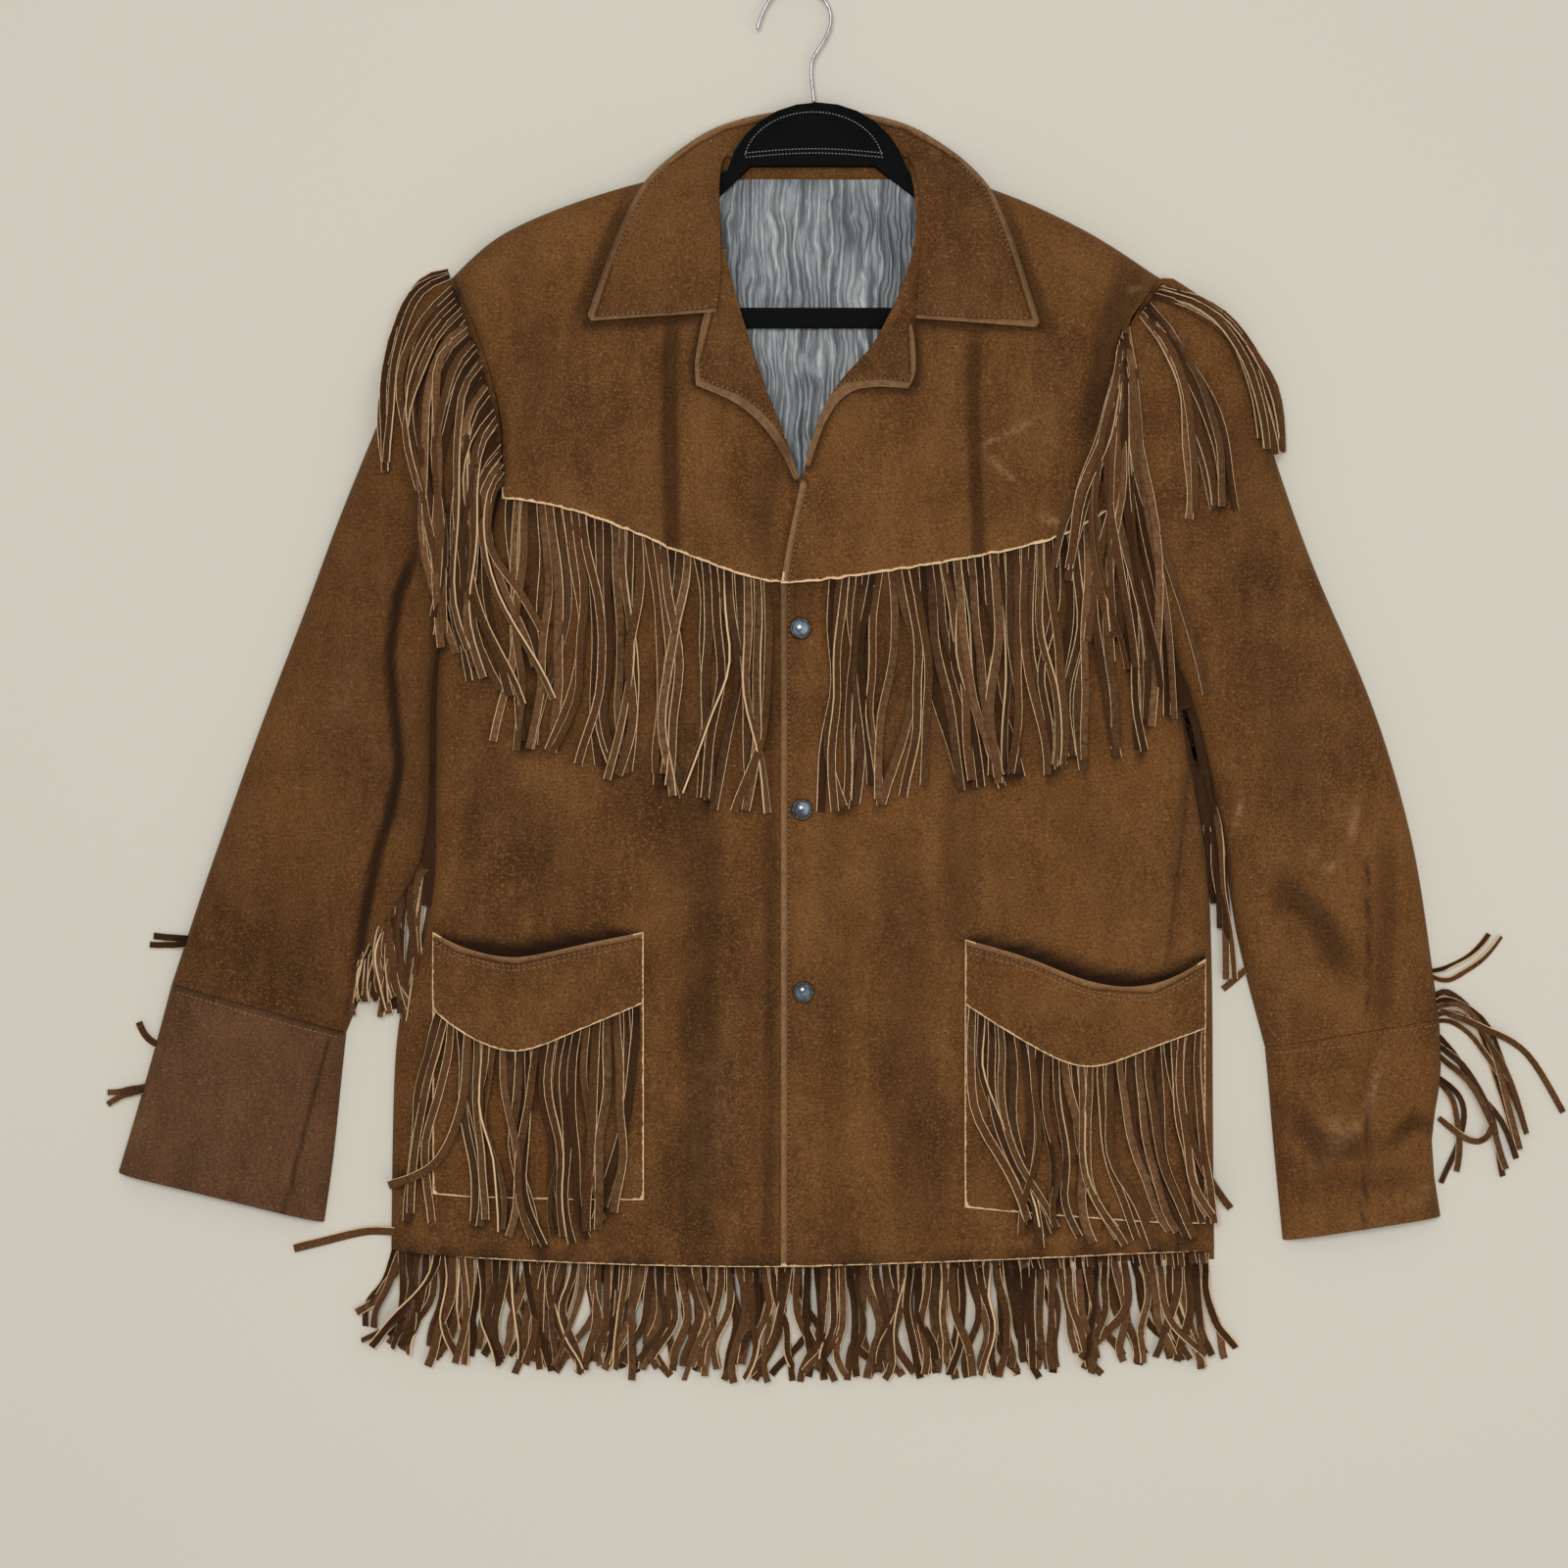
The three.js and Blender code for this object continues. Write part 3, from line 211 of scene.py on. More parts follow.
def suede(name, piece=0.0, hide=HIDE, dark=HIDE_DARK, brushed=HIDE_BRUSHED, blotches=1.0):
    """A suede finish. The piece's own attributes say where it is rubbed or raw, and where shade is painted on
    it.
    """
    material, tree, shader = new_finish(name)
    leather = put(tree, "ShaderNodeGroup", {"node_tree": nap}, Hide=hide, Dark=dark, Brushed=brushed)
    settle(leather, Piece=piece, Blotches=blotches)
    spot = object_place(tree)
    uneven = ramp(tree, noisy(tree, spot, 240.0, 4.0, 0.7), 0.36, 0.62)
    edge = put(tree, "ShaderNodeGroup", {"node_tree": turned}, Near=marked(tree, "near"))
    raw = ramp(tree, times_plus(tree, noisy(tree, spot, 300.0), 0.9, marked(tree, "raw")), 0.86, 1.08)
    tone = blend_colour(tree, times(tree, marked(tree, "rub"), uneven), leather.outputs["Colour"], RUBBED)
    steady = ramp(tree, uneven, 0.0, 1.0, 0.5, 1.0)
    tone = blend_colour(tree, times(tree, edge.outputs["Rubbed"], steady), tone, RUBBED)
    # Painted shade, where the shade attribute says and in the groove inside a turned edge.
    tone = blend_colour(tree, marked(tree, "shade"), tone, SHADE_BROWN)
    tone = blend_colour(tree, edge.outputs["GrooveShade"], tone, SHADE_BROWN)
    tone = blend_colour(tree, raw, tone, RAW_EDGE)
    rim = put(tree, "ShaderNodeBump", None, Height=edge.outputs["Height"], Strength=1.0, Distance=EDGE_HEIGHT)
    bump = put(
        tree, "ShaderNodeBump", None,
        Height=leather.outputs["Height"], Normal=rim.outputs[0], Strength=0.26, Distance=NAP_LENGTH,
    )
    tree.links.new(tone, shader.inputs["Base Color"])
    tree.links.new(leather.outputs["Roughness"], shader.inputs["Roughness"])
    tree.links.new(bump.outputs[0], shader.inputs["Normal"])
    settle(shader, Sheen_Weight=0.14, Sheen_Roughness=0.5, Sheen_Tint=(0.62, 0.37, 0.15, 1))
    settle(shader, Specular_IOR_Level=0.12)
    return material


# The back panel. One wide piece of the hide, which lies flat on the floor under everything else and
# shows only in the neck. It is sewn to the fronts at the sides and to the sleeves at the armholes.
WALL_TURN = math.radians(55)
SAME_POINT = 2e-5
FAR = 9.0


def copied(node, name):
    """A copy of a CAD node's skin as an object of its own, and its mesh open for work, doubles joined."""
    mesh = bpy.data.objects[node].data.copy()
    mesh.materials.clear()
    piece = bpy.data.objects.new(name, mesh)
    bpy.context.scene.collection.objects.link(piece)
    work = bmesh.new()
    work.from_mesh(mesh)
    bmesh.ops.remove_doubles(work, verts=work.verts, dist=SAME_POINT)
    return piece, work


def keep_work(piece, work):
    work.to_mesh(piece.data)
    work.free()


def finish_with(piece, modifier):
    bpy.ops.object.select_all(action="DESELECT")
    piece.select_set(True)
    bpy.context.view_layer.objects.active = piece
    bpy.ops.object.modifier_apply(modifier=modifier)
    bpy.ops.object.shade_smooth_by_angle(angle=math.radians(40))
    piece.select_set(False)


def smooth_out(piece, levels):
    smooth = piece.modifiers.new("smooth", "SUBSURF")
    smooth.levels = smooth.render_levels = levels
    finish_with(piece, "smooth")


def cut_panel(node, levels=3):
    """A soft skin on the form of a panel's solid, with its cut edges kept crisp."""
    piece, work = copied(node, node + "_cloth")
    any_angle = {"angle_face_threshold": math.pi, "angle_shape_threshold": math.pi}
    bmesh.ops.join_triangles(work, faces=work.faces, **any_angle)
    sharp = work.edges.layers.float.get("crease_edge") or work.edges.layers.float.new("crease_edge")
    for edge in work.edges:
        if len(edge.link_faces) == 2 and edge.calc_face_angle(0) > WALL_TURN:
            edge[sharp] = 1.0
    keep_work(piece, work)
    smooth_out(piece, levels)
    return piece


def places(piece):
    """A piece's points, as rows of x, y and z."""
    flat = np.empty(len(piece.data.vertices) * 3)
    piece.data.vertices.foreach_get("co", flat)
    return flat.reshape(-1, 3)


def move_to(piece, points):
    piece.data.vertices.foreach_set("co", points.ravel())
    piece.data.update()


def mark(piece, name, values):
    """Keeps one number for each point, for the finish to read."""
    if name not in piece.data.attributes:
        piece.data.attributes.new(name, "FLOAT", "POINT")
    kept = piece.data.attributes[name]
    kept.data.foreach_set("value", np.clip(values, -9, 1).astype(np.float32))


def belong(piece, node=None):
    """Gives a piece its body, and hides the node that it stands for, where it has one."""
    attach(piece, "root")
    if node:
        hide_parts(node)


def wear(piece, finish):
    """Gives a cloth piece its finish and its place in the frame, and hides the node that it stands for."""
    piece.data.materials.append(finish)
    belong(piece, piece.name.removesuffix("_cloth"))


def from_line(points, line):
    """How far each point lies from a line of corners, seen from above."""
    nearest = np.full(len(points), FAR)
    for (ax, ay), (bx, by) in zip(line, line[1:]):
        step = np.array([bx - ax, by - ay])
        share = ((points[:, 0] - ax) * step[0] + (points[:, 1] - ay) * step[1]) / (step @ step)
        share = np.clip(share, 0, 1)
        off = np.hypot(points[:, 0] - ax - share * step[0], points[:, 1] - ay - share * step[1])
        nearest = np.minimum(nearest, off)
    return nearest


hide_finish = suede("suede", 0.0)
back = cut_panel("back", 1)
points = places(back)
across = np.clip((0.086 - np.abs(points[:, 0] - 0.006)) / 0.012, 0, 1)
at_neck = np.clip((points[:, 1] - 0.361) / 0.008, 0, 1) * across
points[:, 1] += 0.009 * at_neck
move_to(back, points)
wear(back, hide_finish)

# The lining. A slate-blue satin on the inside of the back, in two halves with a seam down the middle;
# it shows in the neck, with a watered look and fine wavy lines, through the hanger's gap.
SATIN = (0.04, 0.049, 0.054)
SATIN_LIGHT = (0.33, 0.355, 0.355)
LINING_TOP = 0.0021

satin, tree, shader = new_finish("satin")
spot = object_place(tree)
watered = noisy(tree, stretched(tree, spot, (46.0, 11.0, 1.0), 0.1), 1.0, 4.0, 0.6)
drawn_out = stretched(tree, spot, (1.0, 0.62, 1.0))
lines, fine = (
    put(
        tree, "ShaderNodeTexWave", {"wave_type": "BANDS", "bands_direction": "X"},
        Vector=drawn_out, Scale=scale, Distortion=bend, Detail=detail, Detail_Scale=detail_scale,
    ).outputs["Fac"]
    for scale, bend, detail, detail_scale in ((42.0, 9.0, 3.0, 0.75), (150.0, 7.0, 2.0, 0.5))
)
lit = put(tree, "ShaderNodeMath", {"operation": "POWER"}, s0=lines, s1=2.2).outputs[0]
share = times_plus(tree, lit, 0.5, watered)
tone = blend_colour(tree, ramp(tree, share, 0.46, 0.88), SATIN, SATIN_LIGHT)
# Painted shade of soft creases, in patches placed by a noise.
crease = noisy(tree, spot, 17.0, 2.0)
tone = blend_colour(tree, ramp(tree, crease, 0.46, 0.62, 0.0, 0.72), tone, (0.035, 0.045, 0.052))
tone = blend_colour(tree, times(tree, fine, 0.4), tone, (0.05, 0.06, 0.068))
# The shade attribute darkens the seam and paints shade into the creases listed below.
tone = blend_colour(tree, marked(tree, "shade"), tone, (0.06, 0.066, 0.075))
tree.links.new(tone, shader.inputs["Base Color"])
tree.links.new(ramp(tree, watered, 0.3, 0.7, 0.42, 0.3), shader.inputs["Roughness"])
bump = put(tree, "ShaderNodeBump", None, Height=share, Distance=0.0012)
tree.links.new(bump.outputs[0], shader.inputs["Normal"])
settle(shader, Sheen_Weight=0.2, Specular_IOR_Level=0.5)

lining = cut_panel("back_lining", 4)
points = places(lining)
for i in np.flatnonzero(points[:, 2] > LINING_TOP):
    x, y = points[i, 0], points[i, 1]
    ripple = 0.0004 * math.sin(x * 260 + 3 * math.sin(y * 40))
    points[i, 2] += 0.0011 * (1 + noise.noise(Vector((x * 34, y * 9, 2)))) + ripple
seam = np.exp(-(((points[:, 0] - 0.0005 - 0.001 * np.sin(points[:, 1] * 60)) / 0.0012) ** 2))
points[:, 2] -= 0.0006 * seam * (points[:, 2] > LINING_TOP)
move_to(lining, points)
# The seam is darker, and each patch below is painted shade in a crease: its place, its reach across and up,
# and how dark it is.
darks = seam * 0.75
for x, y, across, up, amount in (
    (-0.047, 0.3, 0.012, 0.045, 0.6), (-0.018, 0.2835, 0.016, 0.0035, 0.85),
    (0.036, 0.327, 0.026, 0.012, 0.55),
    (-0.026, 0.296, 0.016, 0.007, 0.5), (0.052, 0.29, 0.016, 0.014, 0.45), (-0.026, 0.235, 0.02, 0.012, 0.4),
    (0.03, 0.262, 0.025, 0.006, 0.5), (0.012, 0.17, 0.012, 0.03, 0.5), (-0.03, 0.345, 0.014, 0.012, 0.35),
):
    off = ((points[:, 0] - x) / across) ** 2 + ((points[:, 1] - y) / up) ** 2
    darks = np.maximum(darks, amount * np.exp(-off))
mark(lining, "shade", darks)
wear(lining, satin)

# The undersides of the sleeves and cuffs, flat on the floor. Only their edges show past the tops.
UNDERSIDES = (
    ("sleeve_under_right", (0.118, 0.503), 0.0499),
    ("sleeve_under_left", (0.126, 0.512), 0.0555),
    ("cuff_under_right", (0.125, 0.145), 0.0169),
    ("cuff_under_left", (0.118, 0.137), 0.0142),
)
unders = []
for node, flat, area in UNDERSIDES:
    under = cut_panel(node, 1)
    wear(under, hide_finish)
    unders.append(under)

# The folds of the body and sleeves. The jacket lies on its back, and its front has long soft troughs:
# one from each lapel, one under each yoke, a deep one in the right sleeve and crumples in the left.
# Each row gives a fold's line, half its width, its depth and how dark the painted shade in its trough is;
# below zero is a ridge.
FOLDS = (
    (((-0.088, 0.268), (-0.088, 0.106)), 0.0056, 0.0048, 0.62),
    (((0.112, 0.262), (0.115, 0.098)), 0.0044, 0.0044, 0.55),
    (((0.112, 0.098), (0.106, -0.13)), 0.011, 0.0022, 0.25),
    (((-0.13, 0.25), (-0.14, 0.13)), 0.016, -0.0018, 0.0),
    (((0.06, 0.2), (0.052, 0.105)), 0.014, -0.0016, 0.0),
    (((0.168, 0.262), (0.16, 0.13)), 0.017, -0.0018, 0.0),
    (((-0.006, 0.2), (-0.022, 0.16), (-0.03, 0.105)), 0.008, 0.0018, 0.35),
    (((-0.09, 0.09), (-0.082, -0.12)), 0.013, 0.0026, 0.3),
    (((-0.064, -0.01), (-0.071, -0.335)), 0.012, 0.0026, 0.4),
    (((-0.0215, 0.08), (-0.0225, -0.35)), 0.0045, 0.0016, 0.45),
    (((0.02, -0.04), (0.022, -0.35)), 0.01, 0.0012, 0.18),
    (((0.062, -0.08), (0.076, -0.345)), 0.018, 0.0024, 0.25),
    (((0.1, -0.03), (0.096, -0.15)), 0.008, 0.0018, 0.3),
    (((0.165, -0.02), (0.215, -0.13)), 0.018, 0.0022, 0.18),
    (((-0.215, -0.01), (-0.16, -0.11)), 0.018, 0.0022, 0.18),
    (((-0.205, 0.02), (-0.225, -0.12)), 0.009, 0.0022, 0.2),
    (((0.258, 0.002), (0.243, -0.15)), 0.006, 0.0016, 0.2),
    ((
        (-0.257, 0.117), (-0.269, 0.086), (-0.274, 0.047), (-0.272, 0.014), (-0.269, -0.027),
        (-0.2756, -0.06), (-0.282, -0.082), (-0.2918, -0.131), (-0.2983, -0.173),
    ), 0.0046, 0.0046, 0.95),
    (((-0.34, 0.04), (-0.372, -0.15)), 0.02, 0.0026, 0.2),
    (((-0.3, 0.14), (-0.33, 0.04)), 0.014, 0.0024, 0.2),
    (((-0.29, 0.23), (-0.296, 0.12)), 0.012, 0.002, 0.2),
    (((-0.37, -0.12), (-0.345, -0.165)), 0.01, 0.002, 0.2),
    (((-0.314, -0.203), (-0.3, -0.16), (-0.2918, -0.131)), 0.005, -0.0016, 0.0),
    (((0.376, -0.07), (0.373, -0.2)), 0.005, -0.003, 0.0),
    (((0.387, -0.07), (0.385, -0.205)), 0.007, 0.0028, 0.35),
    (((0.312, -0.105), (0.34, -0.128), (0.364, -0.165)), 0.01, 0.0038, 0.55),
    (((0.312, -0.165), (0.35, -0.14)), 0.008, -0.0022, 0.0),
    (((0.3, 0.06), (0.335, -0.07)), 0.018, 0.0026, 0.2),
    (((0.29, 0.21), (0.3, 0.08)), 0.02, 0.0024, 0.2),
    (((0.37, -0.222), (0.373, -0.33)), 0.005, -0.0024, 0.0),
    (((0.322, -0.255), (0.345, -0.284), (0.38, -0.278)), 0.009, 0.0034, 0.5),
    (((0.386, -0.28), (0.405, -0.262), (0.423, -0.268)), 0.006, 0.004, 0.6),
    (((0.33, -0.306), (0.412, -0.3)), 0.008, 0.0022, 0.3),
    (((-0.338, -0.215), (-0.345, -0.322)), 0.006, -0.0016, 0.0),
    (((-0.4, -0.215), (-0.418, -0.3)), 0.02, 0.0016, 0.12),
    (((0.218, 0.3), (0.203, 0.25), (0.19, 0.19)), 0.012, 0.0044, 0.55),
    (((-0.188, 0.32), (-0.17, 0.2)), 0.014, 0.0018, 0.18),
    (((-0.116, 0.35), (-0.136, 0.296), (-0.15, 0.262)), 0.006, 0.0016, 0.6),
    (((0.132, 0.345), (0.148, 0.3), (0.163, 0.258)), 0.005, 0.0016, 0.5),
)
SOFT_FROM = 0.003
SOFT_TO = 0.01
FOLD_END = 0.016


def press_folds(piece):
    """Lowers the raised part of a panel into the folds and paints shade into their troughs; the rest stays
    put.
    """
    points = places(piece)
    lift = np.clip((points[:, 2] - SOFT_FROM) / (SOFT_TO - SOFT_FROM), 0, 1)
    lift = lift * lift * (3 - 2 * lift)
    down, darks = np.zeros(len(points)), np.zeros(len(points))
    for i in np.flatnonzero(lift > 0):
        x, y = points[i, 0], points[i, 1]
        down[i] = 0.0009 * noise.noise(Vector((x * 16, y * 11, 3)))
        down[i] += 0.0004 * noise.noise(Vector((x * 45, y * 38, 8)))
    for line, half, depth, dark in FOLDS:
        nearest, off, along = np.full(len(points), FAR), np.zeros(len(points)), np.zeros(len(points))
        total = 0.0
        for (ax, ay), (bx, by) in zip(line, line[1:]):
            length = math.hypot(bx - ax, by - ay)
            run = ((points[:, 0] - ax) * (bx - ax) + (points[:, 1] - ay) * (by - ay)) / length
            aside = ((points[:, 0] - ax) * (by - ay) - (points[:, 1] - ay) * (bx - ax)) / length
            past = np.hypot(aside, np.maximum(np.maximum(-run, run - length), 0))
            closer = past < nearest
            nearest = np.where(closer, past, nearest)
            off = np.where(closer, aside, off)
            along = np.where(closer, total + run, along)
            total += length
        fade = np.clip((along + FOLD_END) / (2 * FOLD_END), 0, 1)
        fade = fade * np.clip((total + FOLD_END - along) / (2 * FOLD_END), 0, 1)
        t = (off + 0.15 * half * np.sin(along * 40 + total * 90)) / half
        near = fade * (nearest < 6 * half + 0.02)
        down += depth * near * (np.exp(-t * t) - 0.3 * np.exp(-t * t / 6))
        # Painted shade along each fold's trough.
        darks = np.maximum(darks, dark * near * np.exp(-(t ** 4)))
    points[:, 2] -= lift * down
    move_to(piece, points)
    darks *= lift > 0
    mark(piece, "shade", darks)
    return darks


# The tops of the sleeves and cuffs. The sleeves are loose tubes pressed flat, softly crumpled. The
# right cuff is darker and smoother than the rest, and the left one is rubbed pale in patches. A scuff
# is given by its place, its length and width, its turn and how pale it is.
CUFF_HIDE = (0.092, 0.0395, 0.0165)
CUFF_DARK = (0.036, 0.0155, 0.0078)
CUFF_BRUSHED = (0.165, 0.08, 0.037)
SCUFFS = (
    (0.137, 0.194, 0.02, 0.0018, 0.45, 0.9),
    (0.131, 0.169, 0.014, 0.002, -0.72, 0.7),
    (0.164, 0.134, 0.008, 0.003, -0.5, 0.9),
    (0.219, 0.289, 0.004, 0.002, 0.4, 1.0),
    (0.288, -0.06, 0.01, 0.0022, 1.3, 0.9),
    (0.365, -0.066, 0.012, 0.0024, 1.4, 0.9),
    (0.35, -0.093, 0.006, 0.0022, 0.6, 0.8),
    (0.338, -0.084, 0.005, 0.002, 1.2, 0.7),
    (0.357, -0.276, 0.022, 0.005, 0.8, 0.7),
    (0.377, -0.244, 0.018, 0.003, 1.3, 0.7),
    (0.352, -0.268, 0.006, 0.008, 0.4, 0.5),
    (0.412, -0.31, 0.008, 0.003, 0.9, 0.5),
    (-0.45, -0.265, 0.02, 0.012, 0.9, 0.2),
    (-0.305, 0.02, 0.03, 0.01, 1.3, 0.25),
    (-0.06, -0.26, 0.05, 0.012, 1.5, 0.2),
)


def scuffed(points):
    """How much each place is rubbed by the scuffs."""
    rubbed = np.zeros(len(points))
    for x, y, length, width, turn, amount in SCUFFS:
        dx, dy = points[:, 0] - x, points[:, 1] - y
        c, s = math.cos(turn), math.sin(turn)
        off = ((dx * c + dy * s) / length) ** 2 + ((dy * c - dx * s) / width) ** 2
        rubbed = np.maximum(rubbed, amount * np.exp(-off))
    return rubbed


def outline_off(piece):
    """How far each point lies from the cut edge of its own piece, seen from above."""
    work = bmesh.new()
    work.from_mesh(piece.data)
    rims = [e for e in work.edges if len(e.link_faces) == 2 and e.calc_face_angle(0) > WALL_TURN]
    top = [e for e in rims if max(f.normal.z for f in e.link_faces) > 0.5]
    step = max(1, len(top) // 900)
    ends = np.array([[*e.verts[0].co.xy, *e.verts[1].co.xy] for e in top[::step]])
    work.free()
    points = places(piece)[:, :2]
    nearest = np.full(len(points), FAR)
    for ax, ay, bx, by in ends:
        d = np.array([bx - ax, by - ay]) * step
        a = np.array([ax, ay])
        share = np.clip(((points - a) @ d) / (d @ d), 0, 1)
        nearest = np.minimum(nearest, np.hypot(*(points - a - share[:, None] * d).T))
    return nearest


def dark_line(darks, points, line, half, amount):
    """The darks of a piece, with a soft dark line added to them."""
    return np.maximum(darks, amount * np.exp(-((from_line(points, line) / half) ** 2)))


SLEEVE_SEAMS = (
    ((-0.4175, -0.1732), (-0.363, -0.1892), (-0.3075, -0.2042)),
    ((-0.3159, -0.21), (-0.329, -0.26), (-0.3452, -0.3243)),
    ((0.3735, -0.09), (0.375, -0.15), (0.3735, -0.2)),
    ((0.3735, -0.222), (0.372, -0.33)),
)
cuff_finish = suede("cuff suede", 3.0, CUFF_HIDE, CUFF_DARK, CUFF_BRUSHED, 1.0)
sleeves = {}
for name in ("sleeve_top_right", "sleeve_top_left", "cuff_top_right", "cuff_top_left"):
    piece = cut_panel(name)
    darks = press_folds(piece)
    points = places(piece)
    mark(piece, "rub", scuffed(points))
    for seam in SLEEVE_SEAMS:
        darks = dark_line(darks, points, seam, 0.0014, 0.75)
    # Painted shade darkens the top of the right sleeve all over.
    if name == "sleeve_top_right":
        darks = np.maximum(darks, 0.24)
    mark(piece, "shade", darks)
    sleeves[name] = piece

# The hanger, black and matt, with an arched head, and its polished wire hook. The jacket's neck lies
# round it, and its bar crosses the neck lower down.
def two_toned(name, tones, turning, rough, scale, detail=3.0, fine=0.55, stretch=None):
    """A plain finish that wavers between two tones, and between two kinds of roughness, by a noise."""
    made, tree, shader = new_finish(name)
    spot = object_place(tree)
    if stretch:
        spot = stretched(tree, spot, stretch)
    uneven = noisy(tree, spot, scale, detail, fine)
    tree.links.new(blend_colour(tree, ramp(tree, uneven, *turning), *tones), shader.inputs["Base Color"])
    tree.links.new(ramp(tree, uneven, 0.3, 0.7, *rough), shader.inputs["Roughness"])
    return made, tree, shader


black, tree, shader = two_toned(
    "black cover", ((0.002, 0.002, 0.0024), (0.004, 0.004, 0.0045)), (0.4, 0.7), (0.45, 0.6), 40.0
)
pebble = put(tree, "ShaderNodeTexVoronoi", None, Vector=object_place(tree), Scale=900.0)
bump = put(tree, "ShaderNodeBump", None, Height=pebble.outputs["Distance"], Strength=0.5, Distance=0.0003)
tree.links.new(bump.outputs[0], shader.inputs["Normal"])
settle(shader, Specular_IOR_Level=0.03)

steel, tree, shader = two_toned(
    "polished wire", ((0.42, 0.42, 0.43), (0.6, 0.6, 0.61)), (0.4, 0.7), (0.22, 0.38), 1.0,
    stretch=(900.0, 60.0, 900.0),
)
settle(shader, Metallic=1.0)

hanger, work = copied("hanger", "hanger_finished")
keep_work(hanger, work)
rounding = hanger.modifiers.new("rounding", "BEVEL")
rounding.width = 0.0022
rounding.segments = 4
rounding.angle_limit = math.radians(50)
finish_with(hanger, "rounding")
hanger.data.materials.append(black)
belong(hanger, "hanger")

hook, work = copied("hanger_hook", "hanger_hook_finished")
keep_work(hook, work)
smooth_out(hook, 1)
hook.data.materials.append(steel)
belong(hook, "hanger_hook")

# The fronts. Below the yokes each is one piece down to the hem, and the left one laps over the right
# with a faced edge that carries the snaps. Both are raw along the hem and rubbed along that edge.
HEM = ((-0.275, -0.341), (-0.214, -0.348), (-0.078, -0.357), (0.02, -0.36), (0.274, -0.356))
FRONT_EDGE = ((-0.015, 0.093), (-0.015, -0.36))
POCKETS = {
    "right": (
        (-0.246, -0.137, -0.188, -0.311), (-0.226, -0.147, -0.204, -0.313), (-0.191, -0.154, -0.217, -0.314),
        (-0.152, -0.146, -0.203, -0.315), (-0.106, -0.137, -0.184, -0.315),
    ),
    "left": (
        (0.107, -0.142, -0.185, -0.32), (0.15, -0.154, -0.212, -0.324), (0.189, -0.17, -0.228, -0.327),
        (0.23, -0.173, -0.213, -0.33), (0.267, -0.155, -0.201, -0.331),
    ),
}
SIDE_SEAM = ((0.2593, 0.0), (0.2418, -0.154))
EDGE_REACH = 0.012
RIM_ROUND = 0.006
YOKE_EDGE = (
    (-0.2, 0.15), (-0.178, 0.1472), (-0.156, 0.143), (-0.136, 0.1367), (-0.117, 0.129), (-0.1, 0.1219),
    (-0.084, 0.115), (-0.064, 0.1068), (-0.045, 0.1), (-0.03, 0.0956), (-0.015, 0.093), (0.02, 0.0965),
    (0.052, 0.101), (0.09, 0.107), (0.13, 0.114), (0.15, 0.1187), (0.173, 0.125), (0.195, 0.1366),
    (0.214, 0.15),
)

fronts = {}
for side in ("right", "left"):
    front = cut_panel(f"front_{side}")
    darks = press_folds(front)
    points = places(front)
    hem_off = np.maximum(outline_off(front), from_line(points, HEM) - RIM_ROUND)
    mark(front, "raw", 0.74 - hem_off / 0.0024)
    mark(front, "rub", scuffed(points))
    if side == "left":
        mark(front, "near", 1 - from_line(points, FRONT_EDGE) / EDGE_REACH)
        darks = dark_line(darks, points, SIDE_SEAM, 0.0016, 0.6)
    # Painted shadow in the gaping mouth of each pocket, widest at its middle.
    mouth = [(row[0], row[1]) for row in POCKETS[side]]
    past = from_line(points, mouth)
    middle = (mouth[0][0] + mouth[-1][0]) / 2
    belly = np.clip(1 - ((points[:, 0] - middle) / (abs(mouth[-1][0] - mouth[0][0]) / 2)) ** 2, 0, 1)
    darks = np.maximum(darks, np.exp(-((past / (0.0018 + 0.0085 * belly)) ** 4)) * (belly > 0))
    # Painted shade on the front under the yoke's fringe, darker towards its roots.
    tips = np.interp(points[:, 0], [-0.2, -0.03, 0.01, 0.022, 0.226], [-0.01, -0.058, 0.09, -0.054, -0.016])
    roots = np.interp(points[:, 0], *zip(*YOKE_EDGE))
    under = np.clip((points[:, 1] - tips + 0.004) / 0.012, 0, 1)
    under *= np.clip((roots + 0.01 - points[:, 1]) / 0.01, 0, 1)
    under *= np.clip((0.232 - np.abs(points[:, 0])) / 0.012, 0, 1)
    up = np.clip((points[:, 1] - tips) / (roots - tips + 1e-6), 0, 1)
    darks = np.maximum(darks, under * (0.12 + 0.3 * up))
    mark(front, "shade", darks)
    fronts[side] = front

# The yokes. They cover the chest from the shoulder seam down to a pointed raw edge, which stands off
# over the strip of their fringe.
YOKE_FRONT = ((-0.015, 0.093), (-0.008, 0.135), (-0.002, 0.158))
SCALLOP = 0.0011


def scallop(piece, line):
    """Makes a raw edge wander a little, as cut by hand."""
    points = places(piece)
    near = np.clip(1 - from_line(points, line) / 0.004, 0, 1)
    for i in np.flatnonzero(near > 0):
        x, y = points[i, 0], points[i, 1]
        points[i, 1] += near[i] * SCALLOP * noise.noise(Vector((x * 150, y * 20, 5)))
        points[i, 0] += near[i] * SCALLOP * noise.noise(Vector((x * 150, y * 20, 9)))
    move_to(piece, points)


